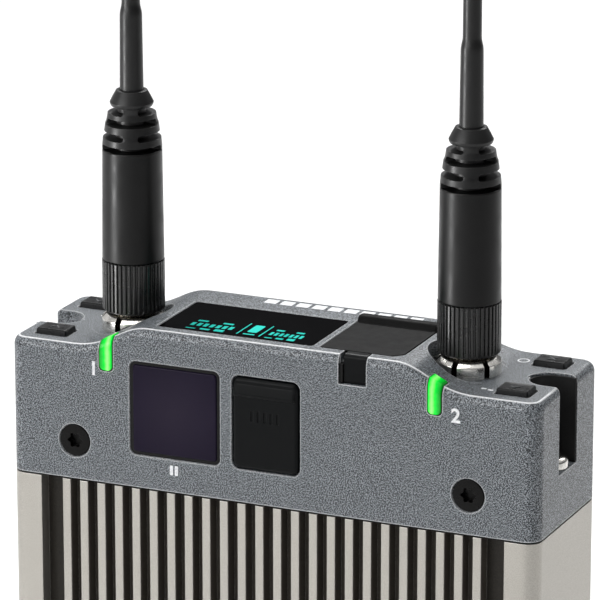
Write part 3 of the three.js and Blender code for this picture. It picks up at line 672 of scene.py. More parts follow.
def head_side(sign, share, proud):
    """One long side of the head's outline from left to right, at a share of its top rounding."""
    steps = [RAMP_OUT + (RAMP_IN - RAMP_OUT) * k / 26 for k in range(27)]
    middle = HALF_W - CORNER_R
    points = []
    for cx, start in ((-middle, 180), (middle, 90)):
        inset, drop = edge_step(sign, share, cx, proud)
        turned = arc(0, 0, CORNER_R + proud - inset, start, start - 90, 9)
        z = head_top(cx) + proud - drop
        corner = [(cx + u, sign * (HALF_D - CORNER_R + v), z) for u, v in turned]
        points.append(corner)
    run = []
    for x in [-x for x in steps] + [0.0] + steps[::-1]:
        inset, drop = edge_step(sign, share, x, proud)
        run.append((x, sign * (HALF_D + proud - inset), head_top(x) + proud - drop))
    return points[0] + run + points[1]


def head_outside(proud=0.0, floor=None):
    """The head before its openings are cut, standing proud of the real surface by `proud`."""
    rounding = 9
    loops = []
    for k in range(rounding + 1):
        share = k / rounding
        loops.append(head_side(-1, share, proud) + head_side(1, share, proud)[::-1])
    floor = head_low.z if floor is None else floor
    loops.insert(0, [(x, y, floor) for x, y, _ in loops[0]])
    bm = bmesh.new()
    rings = [[bm.verts.new(p) for p in loop] for loop in loops]
    for low, high in zip(rings, rings[1:]):
        bridge(bm, low, high)
    bm.faces.new(rings[0])
    top = rings[-1]
    count = len(top)
    for i in range(count // 2 - 1):
        bm.faces.new((top[i], top[i + 1], top[count - 2 - i], top[count - 1 - i]))
    bmesh.ops.recalc_face_normals(bm, faces=bm.faces)
    return bm


def slot_cutter(sx, z0, z1):
    """The side slot. Its round end and one wall are cut wider for the liner."""
    wide = SLOT_R + 0.45
    entry = 1.0
    points = [(HALF_W + 2, -SLOT_R - entry), (HALF_W + 2, wide)]
    points += arc(SLOT_X, 0, wide, 90, 180, 14)
    points += arc(SLOT_X, 0, SLOT_R, 180, 270, 14)
    points += arc(HALF_W - entry, -SLOT_R - entry, entry, 90, 0, 8)
    tool = loft([[(x, y, z) for x, y in points] for z in (z0, z1)])
    return tool if sx > 0 else turn(tool, 180)


def led_outline(sx, grow):
    half = LED_W / 2 + grow
    return rounded_rect(led_x(sx) - half, led_x(sx) + half, SEAM + 17.2 - grow, SEAM + 32, 0.7)


def flap_outline(grow):
    low, high = box_mm("top_flap")
    x0, x1 = low.x - GAP - grow, high.x + GAP + grow
    y0, y1 = low.y - GAP - grow, high.y + GAP + grow
    return [(x0, y0), (x1 - FLAP_CLIP, y0), (x1, y0 + FLAP_CLIP), (x1, y1), (x0, y1)]


def room_for(node, axis, radius):
    """The opening that a CAD node fits into: its box with the fitting gap round it."""
    low, high = box_mm(node)
    if axis == "z":
        return grown_rect(low.x - GAP, high.x + GAP, low.y - GAP, high.y + GAP, radius)
    return grown_rect(low.x - GAP, high.x + GAP, low.z - GAP, high.z + GAP, radius)


def head_housing():
    inner_y = HALF_D - 1.9
    inner_top = LOBE - 2.2
    pocket_in = SLOT_R + 1.85
    xs = [RAMP_OUT - (RAMP_OUT - RAMP_IN) * k / 12 for k in range(13)]
    roof = [(x - 0.6, head_top(x) - 2.3) for x in xs]
    roof += [(-x, z) for x, z in roof[::-1]]
    inside = [(-RAMP_OUT + 0.6, SEAM - 3), (RAMP_OUT - 0.6, SEAM - 3)] + roof
    tether_low, tether_high = box_mm("flap_tether")
    strap_x0, strap_x1 = tether_low.x - 0.25, tether_high.x + 0.15
    glass_low, glass_high = box_mm("display_glass")
    tools = [
        loft([[(x, y, z) for x, z in inside] for y in (-inner_y, inner_y)]),
        block(-33.4, 33.4, -inner_y, inner_y, SEAM - 3, inner_top),
        opening(room_for("ir_window", "y", 1.0), FRONT, -9.9, "y"),
        opening(room_for("socket_cover", "y", 1.2), FRONT, FRONT + 1.3, "y"),
        plate(grown_rect(*DATA_PORT, 0.5), [(FRONT, 0), (-9.9, 0)], "y"),
        opening(room_for("display_glass", "z", 0.35), TOP, TOP - 1.2),
        block(glass_low.x + 1.4, glass_high.x - 1.4, glass_low.y + 1.2, glass_high.y - 1.2,
              SEAM + 20, SEAM + 30),
        opening(flap_outline, TOP, TOP - 1.3),
        rod(3.1, SEAM + 20, SEAM + 30, JACK_X),
        block(strap_x0, strap_x1, FRONT - 1, FRONT + 1.5, SEAM + 20, SEAM + 30),
        block(strap_x0, strap_x1, FRONT + 1, -8.6, TOP - 1.3, SEAM + 30),
    ]
    for _, sx in SIDES:
        for _, sy in ENDS:
            x0, x1 = sorted((sx * 33.3, sx * 39.4))
            y0, y1 = sorted((sy * pocket_in, sy * inner_y))
            tools.append(block(x0, x1, y0, y1, SEAM - 3, inner_top))
            half_w, half_d = KEY_W / 2 + 0.1, KEY_D / 2 + 0.1
            x, y = sx * KEY_X, sy * KEY_Y
            key = grown_rect(x - half_w, x + half_w, y - half_d, y + half_d, 0.4)
            tools.append(opening(key, LOBE, SEAM + 15, flare=0.08))
            sink = [(0, -1), (2.62, -1), (2.62, 0), (2.55, 0.07), (2.55, 0.25), (1.4, 1.4), (1.4, 5), (0, 5)]
            tools.append(into_face(lathe(sink), sx * HEAD_SCREW_X, sy))
        tools.append(slot_cutter(sx, SLOT_FLOOR, SEAM + 30))
        tools.append(rod(1.55, SEAM - 3, SLOT_FLOOR + 1, sx * SLOT_X))
        tools.append(rod(2.75, SEAM - 3, SEAM + 5.2, sx * SLOT_X))
        tools.append(rod(5.9, LOBE, SEAM + 30, sx * ANTENNA_X, ANTENNA_Y, 128))
        tools.append(rod(3.45, SEAM + 15, SEAM + 30, sx * ANTENNA_X, ANTENNA_Y))
        tools.append(plate(lambda grow, s=sx: led_outline(s, 0), [(FRONT - 2, 0), (-9.5, 0)], "y"))
    return combine(head_outside(), tools)


def into_face(bm, x, sy, z=HEAD_SCREW_Z):
    """Lays a turned solid so that its height runs from the front or rear face into the head."""
    return shift(turn(bm, -90 if sy < 0 else 90, "X"), x, sy * HALF_D, z)


def star(r_out, r_in, z0, z1, lobes=6, steps=60):
    """The cutter of a star-shaped driver socket."""
    points = []
    for k in range(steps):
        a = 2 * math.pi * k / steps
        r = (r_out + r_in) / 2 + (r_out - r_in) / 2 * math.cos(lobes * a)
        points.append((r * math.cos(a), r * math.sin(a)))
    return loft([[(x, y, z) for x, y in points] for z in (z0, z1)])


def countersunk(head_r, shank_r, length):
    profile = [(0, 0.1), (head_r, 0.1), (head_r, 0.35), (shank_r, head_r - shank_r + 0.35)]
    return lathe(soften(profile + [(shank_r, length), (0, length)], 0.12), steps=72)


def head_and_screws():
    piece("head_shell", head_housing(), "chassis", "head_paint", "head_housing", smooth=28)
    for side, sx in SIDES:
        for end, sy in ENDS:
            screw = combine(countersunk(2.4, 1.1, 5), [star(1.2, 0.88, -1, 1.1)])
            name = f"head_screw_{end}_{side}"
            piece(f"{name}_fine", into_face(screw, sx * HEAD_SCREW_X, sy), "chassis", "black_steel", name)
            foot = combine(countersunk(2.1, 1.0, 9), [star(1.0, 0.72, -1, 1.1)])
            foot = shift(foot, sx * FOOT_SCREW_X, sy * FOOT_SCREW_Y)
            name = f"bottom_screw_{end}_{side}"
            piece(f"{name}_fine", foot, "chassis", "black_steel", name)


# ---------------------------------------------------------------- finned case
def case_outline():
    """The extrusion's outline: plain corners, and on both faces a row of fins with rounded lips."""
    first = -((FIN_COUNT - 1) * FIN_PITCH + FIN_WIDTH) / 2
    fins = [first + k * FIN_PITCH + part for k in range(FIN_COUNT) for part in (0, FIN_WIDTH)]
    edges = [-PLAIN_CORNER_X, *fins, PLAIN_CORNER_X]
    floor = FRONT + FIN_DEPTH
    front = []
    for a, b in zip(edges[::2], edges[1::2]):
        front += [(a, FRONT), (a, floor), (b, floor), (b, FRONT)]
    front = soften([(-HALF_W + CORNER_R, FRONT), *front, (HALF_W - CORNER_R, FRONT)], 0.14, 3)
    left = arc(-HALF_W + CORNER_R, FRONT + CORNER_R, CORNER_R, 180, 270, 10)
    right = arc(HALF_W - CORNER_R, FRONT + CORNER_R, CORNER_R, -90, 0, 10)
    half = left[:-1] + front + right[1:]
    return half + [(-x, -y) for x, y in half]


def case_shell():
    low, high = box_mm("body_shell")
    outline = case_outline()
    shell = loft([[(x, y, z) for x, y in outline] for z in (low.z, high.z)])
    tools = [block(-35.6, 35.6, -8.2, 8.2, low.z - 1, high.z + 1)]
    for _, sx in SIDES:
        tools.append(rod(1.55, low.z - 1, high.z + 1, sx * SLOT_X, 0, 32))
        for _, sy in ENDS:
            tools.append(rod(1.1, low.z - 1, high.z + 1, sx * FOOT_SCREW_X, sy * FOOT_SCREW_Y, 32))
    return combine(shell, tools)


def bottom_plate():
    thick = 5.0
    outline = grown_rect(-HALF_W, HALF_W, FRONT, HALF_D, CORNER_R)
    base = plate(outline, rounded_spans(0, thick, 0.4))
    base = combine(base, [block(-35.4, 35.4, -8, 8, thick - 1, thick + 2.4)], "UNION")
    tools = [
        plate(grown_rect(-22, 22, -6.1, 6.1, 1.5), [(-1, 0.2), (0, 0.2), (0.2, 0), (4.4, 0)]),
        block(-19.9, 19.9, -4.6, 4.6, 4, 9),
        block(-27, 27, -6.4, 6.4, 6, 9),
    ]
    for _, sx in SIDES:
        tools.append(rod(2.1, -1, thick + 1, sx * SLOT_X, 0))
        for _, sy in ENDS:
            sink = [(0, -1), (2.2, -1), (2.2, 0.3), (1.25, 1.25), (1.25, 6), (0, 6)]
            tools.append(lathe(sink, sx * FOOT_SCREW_X, sy * FOOT_SCREW_Y, 48))
    return combine(base, tools)


def case():
    piece("case_extrusion", case_shell(), "chassis", "case_metal", "body_shell")
    piece("base_plate", bottom_plate(), "chassis", "case_metal", "bottom_plate")


# ---------------------------------------------------------------- window, display and covers
def front_plate(node, radius, rim):
    """A plate with a rounded rim that fills a CAD node's box on the front face."""
    low, high = box_mm(node)
    outline = grown_rect(low.x, high.x, low.z, high.z, radius)
    return outline, rounded_spans(low.y, high.y, rim)


def socket_cover():
    low, high = box_mm("socket_cover")
    outline, spans = front_plate("socket_cover", 1.1, 0.6)
    face = plate(lambda grow: outline(grow - 0.08), spans[:-1] + [(FRONT + 1.25, 0)], "y")
    ridge = [(low.y + 0.4, high.z - 0.55), (low.y - 0.02, high.z - 0.9), (low.y - 0.36, high.z - 2.5)]
    ridge = soften(ridge + [(low.y - 0.2, high.z - 2.85), (low.y + 0.4, high.z - 2.95)], 0.3, 4)
    loops = []
    for x, sunk in ((low.x + 0.2, 0.4), (low.x + 0.42, 0.12), (low.x + 0.8, 0), (high.x - 1.0, 0),
                    (high.x - 0.6, 0.12), (high.x - 0.4, 0.4)):
        loops.append([(x, min(y + sunk, low.y + 0.5), z) for y, z in ridge])
    plug = block(-3.6, 2.87, FRONT + 1, FRONT + 2.4, SEAM + 11.3, SEAM + 13.2)
    cover = combine(face, [loft(loops), bevelled(plug, 0.2)], "UNION")
    spans = [(low.y - 1, 0), (low.y + 0.13, 0)]
    marks = [plate(grown_rect(x, x + 0.45, SEAM + 12.6, SEAM + 14.3, 0.2), spans, "y")
             for x in (-2.6, -1.6, -0.6, 0.4, 1.4)]
    return combine(cover, marks)


def top_flap():
    low, high = box_mm("top_flap")
    outline = lambda grow: flap_outline(grow - GAP)
    base = bevelled(plate(outline, [(TOP - 1.25, 0), (TOP + 0.05, 0)]), 0.16, 2)
    back, crest = high.y, high.z
    lip = [(back, TOP - 0.9), (back, crest), (back - 1.5, crest), (back - 2.1, TOP - 0.1)]
    lip = soften(lip, 0.42, 5) + [(back - 2.1, TOP - 0.9)]
    x0, x1 = low.x, high.x
    ends = [(x0, 0.35), (x0 + 0.12, 0.12), (x0 + 0.4, 0), (x1 - 0.4, 0), (x1 - 0.12, 0.12), (x1, 0.35)]
    middle = (back - 0.9, TOP - 0.2)
    loops = []
    for x, shrink in ends:
        pull = shrink / 1.4
        loops.append([(x, y + (middle[0] - y) * pull, z + (middle[1] - z) * pull) for y, z in lip])
    plug = rod(1.35, TOP - 2.2, TOP - 0.5, JACK_X)
    flap = combine(base, [loft(loops), plug], "UNION")
    groove = block(low.x + 0.5, high.x - 0.5, back - 2.42, back - 2.2, TOP - 0.1, TOP + 0.2)
    return combine(flap, [groove])


def flap_tether():
    low, high = box_mm("flap_tether")
    side = [(low.y + 0.2, low.z), (low.y + 0.2, high.z), (high.y, high.z), (high.y, TOP - 1.25)]
    side += [(FRONT + 1.4, TOP - 1.25), (FRONT + 1.4, low.z)]
    rounded = soften(side[:2] + [side[2]], 0.95, 6) + side[3:]
    return bevelled(loft([[(x, y, z) for y, z in rounded] for x in (low.x + 0.3, high.x)]), 0.12, 2, 50)


def tether_notch_shade():
    """A black block on the side of the notch beside the tether: painted shade in that notch."""
    low, _ = box_mm("flap_tether")
    return block(low.x - 0.23, low.x + 0.28, FRONT + 0.35, FRONT + 1.47, low.z + 0.05, TOP - 1.45)


def thin_mark(x0, x1, y0, y1, z, radius=0.08):
    return plate(grown_rect(x0, x1, y0, y1, radius), [(z - 0.05, 0), (z + 0.012, 0)])


def joined(solids):
    """Separate solids in one mesh."""
    whole = bmesh.new()
    for solid in solids:
        mesh = bpy.data.meshes.new("helper")
        solid.to_mesh(mesh)
        solid.free()
        whole.from_mesh(mesh)
        bpy.data.meshes.remove(mesh)
    return whole


def display_marks():
    """Two groups of meter bars and a cell symbol between them."""
    low, high = box_mm("display_glass")
    z = high.z
    marks = []
    for x0, step in ((low.x + 3.9, 1.0), (high.x - 7.9, 0.78)):
        for k in range(7):
            x = x0 + k * step
            marks.append(thin_mark(x, x + step * 0.62, low.y + 2.5, low.y + 3.9, z))
        for k in range(3):
            x = x0 + k * step * 2.2
            marks.append(thin_mark(x, x + step * 1.5, low.y + 1.0, low.y + 1.3 + 0.3 * k, z, 0.05))
        for k in range(2):
            x = x0 + 0.3 + k * step * 4
            marks.append(thin_mark(x, x + step * 1.6, low.y + 4.7, low.y + 5.3, z, 0.05))
    centre = low.x + 13.7
    marks.append(thin_mark(centre - 0.75, centre + 0.75, low.y + 2.6, low.y + 6.1, z, 0.3))
    for sx in (-1, 1):
        x = centre + sx * 1.75
        marks.append(thin_mark(x - 0.09, x + 0.09, low.y + 1.2, low.y + 6.6, z, 0.04))
    marks.append(thin_mark(centre - 0.9, centre + 0.9, low.y + 1.4, low.y + 1.75, z, 0.05))
    return joined(marks)


def windows_and_covers():
    outline, spans = front_plate("ir_window", 0.9, 0.25)
    pane = plate(lambda grow: outline(grow - 0.4), spans, "y")
    piece("ir_window_fine", pane, "chassis", "filter_glass", "ir_window")
    # A black ring in the gap round the pane, set there as painted shade in that gap.
    shade_rim = plate(lambda grow: outline(grow + 0.06), [(FRONT + 0.22, 0), (FRONT + 0.9, 0)], "y")
    hole = plate(lambda grow: outline(grow - 0.38), [(FRONT - 1, 0), (FRONT + 2, 0)], "y")
    piece("ir_window_seal", combine(shade_rim, [hole]), "chassis", "black_plastic")
    low, high = box_mm("display_glass")
    outline = grown_rect(low.x, high.x, low.y, high.y, 0.25)
    piece("display_cover", plate(outline, rounded_spans(high.z, low.z, 0.1, 3)), "chassis",
          "display_glass", "display_glass")
    piece("display_marks", display_marks(), "chassis", "display_teal")
    piece("socket_cover_fine", socket_cover(), "socket_cover", "black_rubber", "socket_cover")
    piece("top_flap_fine", top_flap(), "top_flap", "flap_rubber", "top_flap")
    piece("flap_tether_fine", flap_tether(), "chassis", "black_rubber", "flap_tether")
    piece("tether_notch_shade", tether_notch_shade(), "chassis", "black_plastic")


# ---------------------------------------------------------------- keys and light pipes
def icon_strokes(kind):
    """Strokes of a key's raised mark, each from one point to another."""
    return {
        "front_left": [(-0.7, -0.45, 0, 0.5), (0.7, -0.45, 0, 0.5)],
        "rear_left": [(-0.7, 0.45, 0, -0.5), (0.7, 0.45, 0, -0.5)],
        "front_right": [(-0.75, 0.0, -0.25, -0.5), (-0.25, -0.5, 0.75, 0.5)],
        "rear_right": [(-0.55, -0.5, 0.55, 0.5), (-0.55, 0.5, 0.55, -0.5)],
    }[kind]


def stroke(x0, y0, x1, y1, z0, z1, width=0.2):
    """A raised line with rounded ends."""
    a, b = Vector((x0, y0)), Vector((x1, y1))
    heading = math.degrees(math.atan2(b.y - a.y, b.x - a.x))
    half = width / 2
    points = arc(b.x, b.y, half, heading - 90, heading + 90, 6)
    points += arc(a.x, a.y, half, heading + 90, heading + 270, 6)
    return loft([[(x, y, z) for x, y in points] for z in (z0, z1)])


def key(end, side, sx, sy):
    low, high = box_mm(f"button_{end}_{side}")
    x, y = sx * KEY_X, sy * KEY_Y
    crest = high.z + 0.22
    outline = grown_rect(x - KEY_W / 2, x + KEY_W / 2, y - KEY_D / 2, y + KEY_D / 2, 0.4)
    spans = [(SEAM + 18, 0), (LOBE - 0.2, 0), (LOBE - 0.12, -0.05), (LOBE - 0.12, -0.1)]
    spans += [(crest - 0.22, -0.2), (crest - 0.16, -0.25), (crest - 0.02, -0.38), (crest, -0.42)]
    spans += [(crest, -0.56), (crest - 0.05, -0.64)]
    cap = plate(outline, spans)
    flange = block(x - 2.85, x + 2.85, y - 2.2, y + 2.2, low.z + 0.7, SEAM + 18.3)
    stem = block(x - 1.2, x + 1.2, y - 1, y + 1, low.z, SEAM + 18)
    return combine(cap, [flange, stem], "UNION")


def key_mark(end, side, sx, sy):
    """The raised sign on a key."""
    crest = box_mm(f"button_{end}_{side}")[1].z + 0.22
    x, y = sx * KEY_X, sy * KEY_Y
    strokes = [stroke(x + a, y + b, x + c, y + d, crest - 0.2, crest + 0.03)
               for a, b, c, d in icon_strokes(f"{end}_{side}")]
    return combine(strokes[0], strokes[1:], "UNION")


def light_pipe(sx):
    """A bent light guide that fills its slot over the head's edge."""
    keep = plate(lambda grow: led_outline(sx, -0.17), [(FRONT - 2, 0), (-9.66, 0)], "y")
    lens = combine(head_outside(0.22, SEAM + 10), [keep], "INTERSECT")
    lens = bevelled(lens, 0.12, 1, 40)
    x0, x1 = led_x(sx) - LIGHT_PIPE_HALF, led_x(sx) + LIGHT_PIPE_HALF
    stem = block(x0, x1, -10.05, -8.5, SEAM + 15.75, SEAM + 18.6)
    neck = block(x0, x1, FRONT + 0.6, -9.0, SEAM + 17.45, SEAM + 18.6)
    return combine(lens, [stem, neck], "UNION")


def light_pipe_seal(sx):
    """A thin black surround between a light pipe and the head, put there as painted shade round the pipe."""
    outer = plate(lambda grow: led_outline(sx, 0.03), [(FRONT - 2, 0), (-9.45, 0)], "y")
    inner = plate(lambda grow: led_outline(sx, -0.16), [(FRONT - 3, 0), (-9.62, 0)], "y")
    frame_block = block(led_x(sx) - 2, led_x(sx) + 2, FRONT - 1, -9.3, SEAM + 17.1, SEAM + 30)
    body = combine(head_outside(-0.03, SEAM + 10), [outer, frame_block], "INTERSECT")
    return combine(body, [inner])


def ring_mark(x, y, z, r, width):
    return lathe([(r - width, z - 0.05), (r, z - 0.05), (r, z + 0.012), (r - width, z + 0.012)], x, y, 40)


def numeral(text, x, z, size):
    """A channel number on the front face, from the built-in font."""
    curve = bpy.data.curves.new("helper", "FONT")
    curve.body = text
    curve.size = size
    curve.extrude = 0.03
    curve.offset = 0.07
    curve.align_x = "CENTER"
    obj = bpy.data.objects.new("helper", curve)
    bpy.context.scene.collection.objects.link(obj)
    mesh = bpy.data.meshes.new_from_object(obj.evaluated_get(bpy.context.evaluated_depsgraph_get()))
    bm = bmesh.new()
    bm.from_mesh(mesh)
    bpy.data.objects.remove(obj)
    bpy.data.curves.remove(curve)
    bpy.data.meshes.remove(mesh)
    return shift(turn(bm, 90, "X"), x, FRONT + 0.018, z)


def prints():
    """Plain printed marks: channel numbers, and bars where a real unit has words."""
    piece("print_channel_1", numeral("1", -27.75, SEAM + 16.45, 2.95), "chassis", "print_white")
    piece("print_channel_2", numeral("2", 29.0, SEAM + 16.6, 2.9), "chassis", "print_white")
    spans = [(FRONT - 0.012, 0), (FRONT + 0.05, 0)]
    window = [plate(grown_rect(x, x + 0.5, SEAM + 2.7, SEAM + 4.2, 0.12), spans, "y") for x in (-15.6, -14.8)]
    piece("print_window_mark", joined(window), "chassis", "print_white")
    bars = [thin_mark(x, x + 1.95, 7.4, 9.2, TOP) for x in (-9.4 + 2.55 * k for k in range(10))]
    piece("print_rear_bars", joined(bars), "chassis", "print_white")
    keys = []
    for count, left, front, slope in ((3, -30.9, -6.9, 0.0), (5, 27.6, -7.0, -0.3)):
        for k in range(count):
            x, y = left + 1.15 * k, front + slope * k
            keys.append(thin_mark(x, x + 0.8, y, y + 0.5, LOBE))
    keys.append(ring_mark(31.8, 7.0, LOBE, 0.92, 0.24))
    piece("print_key_marks", joined(keys), "chassis", "print_white")


def keys_and_lamps():
    for side, sx in SIDES:
        for end, sy in ENDS:
            name = f"button_{end}_{side}"
            piece(f"{name}_fine", key(end, side, sx, sy), name, "button_rubber", name)
            piece(f"{name}_mark", key_mark(end, side, sx, sy), name, "key_sign")
        name = f"light_pipe_{side}"
        piece(f"{name}_fine", light_pipe(sx), "chassis", "light_pipe", name, smooth=20)
        piece(f"{name}_seal", light_pipe_seal(sx), "chassis", "black_plastic")


# ---------------------------------------------------------------- side slots
# A black liner over the slot's round end and one wall: a dark part put in as painted shade inside the slot.
def slot_liner(sx):
    low, high = box_mm("slot_liner_right")
    outer = SLOT_R + 0.4
    end = high.x
    points = [(end, SLOT_R), (end, outer)] + arc(SLOT_X, 0, outer, 90, 176.4, 16)
    points += arc(SLOT_X, 0, SLOT_R, 176.4, 90, 16)
    liner = loft([[(x, y, z) for x, y in points] for z in (low.z, high.z)])
    return liner if sx > 0 else turn(liner, 180)


def mount_screw(x):
    low, high = box_mm("mount_screw_right")
    floor = SLOT_FLOOR + 0.05
    shank = 1.25
    profile = [(0, low.z), (shank - 0.4, low.z), (shank, low.z + 0.5), (shank, floor), (2.7, floor)]
    dome = [(2.7, floor + 0.95)] + [
        (2.7 * math.cos(a), floor + 0.95 + (high.z - floor - 0.95) * math.sin(a))
        for a in (math.pi / 2 * k / 9 for k in range(1, 9))
    ]
    screw = lathe(soften(profile, 0.08, 2) + dome + [(0, high.z)], x, 0, 64)
    socket = lathe([(0, floor + 0.9), (1.25, floor + 0.9), (1.25, floor + 3), (0, floor + 3)], x, 0, 6)
    return combine(screw, [socket])


def side_slots():
    for side, sx in SIDES:
        piece(f"slot_liner_{side}_fine", slot_liner(sx), "chassis", "slot_liner", f"slot_liner_{side}")
        name = f"mount_screw_{side}"
        piece(f"{name}_fine", mount_screw(sx * SLOT_X), name, "bright_steel", name)


# ---------------------------------------------------------------- antennas
RELIEF_TURN = 22


def ring_nut():
    low, high = box_mm("ring_nut_right")
    bore, chamfer = 3.35, 0.7
    profile = [(bore, low.z), (RING_NUT_R, low.z), (RING_NUT_R, high.z - chamfer)]
    profile += [(4.0, high.z), (bore, high.z)]
    nut = lathe(soften(profile, 0.12, 3, closed=True), steps=144)
    notches = [turn(block(-0.45, 0.45, -6, -3.75, low.z - 1, high.z + 1), -5 + 60 * k) for k in range(6)]
    return combine(nut, notches)


def antenna_socket():
    """The panel socket with its fine outside thread."""
    low, high = box_mm("antenna_socket_right")
    crest, root, pitch = 3.2, 2.95, 0.7056
    thread = []
    z = LOBE + 0.5
    while z + pitch < high.z - 0.3:
        thread += [(crest, z), (root, z + pitch / 2)]
        z += pitch
    profile = [(0, low.z), (2.4, low.z), (2.4, SEAM + 16.2), (4.5, SEAM + 16.2), (4.5, SEAM + 18.3)]
    profile += [(crest, SEAM + 18.3), *thread, (3.0, high.z), (2.0, high.z), (2.0, SEAM + 22.4)]
    profile += [(0.45, SEAM + 22.4), (0.45, SEAM + 26.6), (0, SEAM + 26.9)]
    return lathe(profile, steps=72)


def ribbed(angle, ribs=40):
    """Radius of the coupling nut's grip: flat-topped ribs with steep flanks."""
    outer, root = 4.6, 4.33
    place = abs((angle * ribs / (2 * math.pi) + 0.5) % 1 - 0.5)
    flank = min(1.0, max(0.0, (0.36 - place) / 0.12))
    flank = flank * flank * (3 - 2 * flank)
    return root + (outer - root) * flank


def coupling_nut():
    low, high = box_mm("coupling_nut_right")
    steps = 40 * 14
    angles = [2 * math.pi * k / steps for k in range(steps)]
    loops = []
    rim = 4.5
    for z, plain in ((low.z, rim - 0.08), (low.z + 0.08, rim), (low.z + 0.18, rim), (low.z + 0.2, 0),
                     (high.z - 0.08, 0), (high.z, rim - 0.1)):
        radii = [plain or ribbed(a) for a in angles]
        loops.append([(r * math.cos(a), r * math.sin(a), z) for r, a in zip(radii, angles)])
    bores = [rod(3.3, SEAM + 20, SEAM + 29.2), rod(2.6, SEAM + 20, SEAM + 34)]
    return combine(loft(loops), bores)


def antenna_sleeve():
    low, high = box_mm("antenna_sleeve_right")
    outside = [(2.6, low.z), (4.56, low.z), (4.38, high.z), (0, high.z)]
    inside = [(0, SEAM + 33.1), (2.6, SEAM + 33.1)]
    return lathe(soften(outside, 0.22, 5)[1:] + inside + [(2.6, low.z)], steps=128)


# each slot's height over the seam, and which way its webs face
RELIEF_GAPS = ((48.35, 0), (50.25, 1), (52.25, 0), (53.95, 1))


def relief_envelope(z):
    """Outside radius of the bend relief where nothing is cut away: three rings under a bell."""
    bands = [
        (48.05, 4.38), (48.3, 4.38), (48.7, 4.36), (49.9, 4.24), (50.25, 4.13), (50.6, 4.08), (51.9, 3.9),
        (52.25, 3.74), (52.6, 3.66), (53.6, 3.5), (53.95, 3.28), (54.4, 2.98), (54.75, 3.16), (55.0, 3.2),
        (55.9, 2.76), (56.5, 2.42), (56.75, 2.28), (56.84, 2.05),
    ]
    for (z0, r0), (z1, r1) in zip(bands, bands[1:]):
        if z <= z1:
            t = (z - z0) / (z1 - z0)
            return r0 + (r1 - r0) * max(0.0, t)
    return bands[-1][1]


def relief_radius(angle, z):
    """Slots with round ends part the rings. Two webs bridge a slot, a quarter turn from the next."""
    r = relief_envelope(z)
    core = 2.55 + (2.0 - 2.55) * (z - 48.05) / (54.4 - 48.05)
    for centre, turned in RELIEF_GAPS:
        web_at = math.radians(RELIEF_TURN + 90 * turned)
        off = abs((angle - web_at + math.pi / 2) % math.pi - math.pi / 2)
        half_gap, half_web, soft = 0.43, 1.15, 0.08
        along = max(0.0, half_web + half_gap - off * r)
        distance = math.hypot(along, z - centre) - half_gap
        share = min(1.0, max(0.0, 0.5 - distance / (2 * soft)))
        share = share * share * (3 - 2 * share)
        r = r + (core - r) * share if core < r else r
    return r


def bend_relief():
    low, high = 48.05, 56.84
    heights = [low, low + 0.02]
    for centre, _ in RELIEF_GAPS:
        offsets = [0.2, 0.35, 0.39, 0.43, 0.47, 0.51, 0.55]
        offsets = [-d for d in offsets] + [0] + offsets
        heights += [centre + d for d in offsets if centre + d > low + 0.05]
    heights += [49.2, 49.5, 51.1, 51.4, 53.05, 54.6, 54.75, 54.88, 55.0, 55.12, 55.4, 55.9]
    heights += [56.2, 56.5, 56.65, 56.75, high]
    heights = sorted(set(round(z, 4) for z in heights))
    steps = 264
    loops = []
    for z in heights:
        ring = []
        for k in range(steps):
            a = 2 * math.pi * k / steps
            r = relief_radius(a, z)
            ring.append((r * math.cos(a), r * math.sin(a), SEAM + z))
        loops.append(ring)
    return combine(loft(loops), [rod(1.78, SEAM + 52.5, SEAM + 60)])


def antenna_whip():
    low, high = box_mm("antenna_whip_right")
    tip = high.z
    profile = [(0, low.z), (1.73, low.z), (1.73, SEAM + 57), (1.62, SEAM + 68.2), (1.34, SEAM + 69.4)]
    profile += [(1.2, tip - 1.25)]
    dome = arc(0, tip - 1.2, 1.2, 0, 90, 8)[:-1]
    return lathe(soften(profile, 0.5, 5) + dome + [(0, tip)], steps=64)


ANTENNA_PARTS = (
    ("ring_nut", ring_nut, "chassis", "ring_nickel"),
    ("antenna_socket", antenna_socket, "chassis", "brass_contact"),
    ("coupling_nut", coupling_nut, "coupling_{}", "coupling_black"),
    ("antenna_sleeve", antenna_sleeve, "antenna_{}", "antenna_sleeve"),
    ("antenna_whip", antenna_whip, "whip_{}", "antenna_rubber"),
)


def antennas():
    for side, sx in SIDES:
        x, y = sx * ANTENNA_X, ANTENNA_Y
        for name, make, body, finish in ANTENNA_PARTS:
            solid = shift(make(), x, y)
            obj = piece(f"{name}_{side}_fine", solid, body.format(side), finish, f"{name}_{side}")
            STRIP_LIT.objects.link(obj)
        relief = shift(bend_relief(), x, y)
        obj = piece(f"bend_relief_{side}_fine", relief, None, "antenna_rubber", f"bend_relief_{side}")
        STRIP_LIT.objects.link(obj)
        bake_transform(obj)


# ---------------------------------------------------------------- camera, floor and light
CAMERA_AZIMUTH = 23.769
CAMERA_ELEVATION = 16.622
CAMERA_DISTANCE = 694.09
CAMERA_TARGET = Vector((-0.281, 0, SEAM + 27.781))
CAMERA_LENS = 287.75
SENSOR_WIDTH = 36.0


def direction(azimuth, elevation):
    """From the object towards a place round it. Azimuth 0 is in front, 90 on the right."""
    a, e = math.radians(azimuth), math.radians(elevation)
    return Vector((math.sin(a) * math.cos(e), -math.cos(a) * math.cos(e), math.sin(e)))


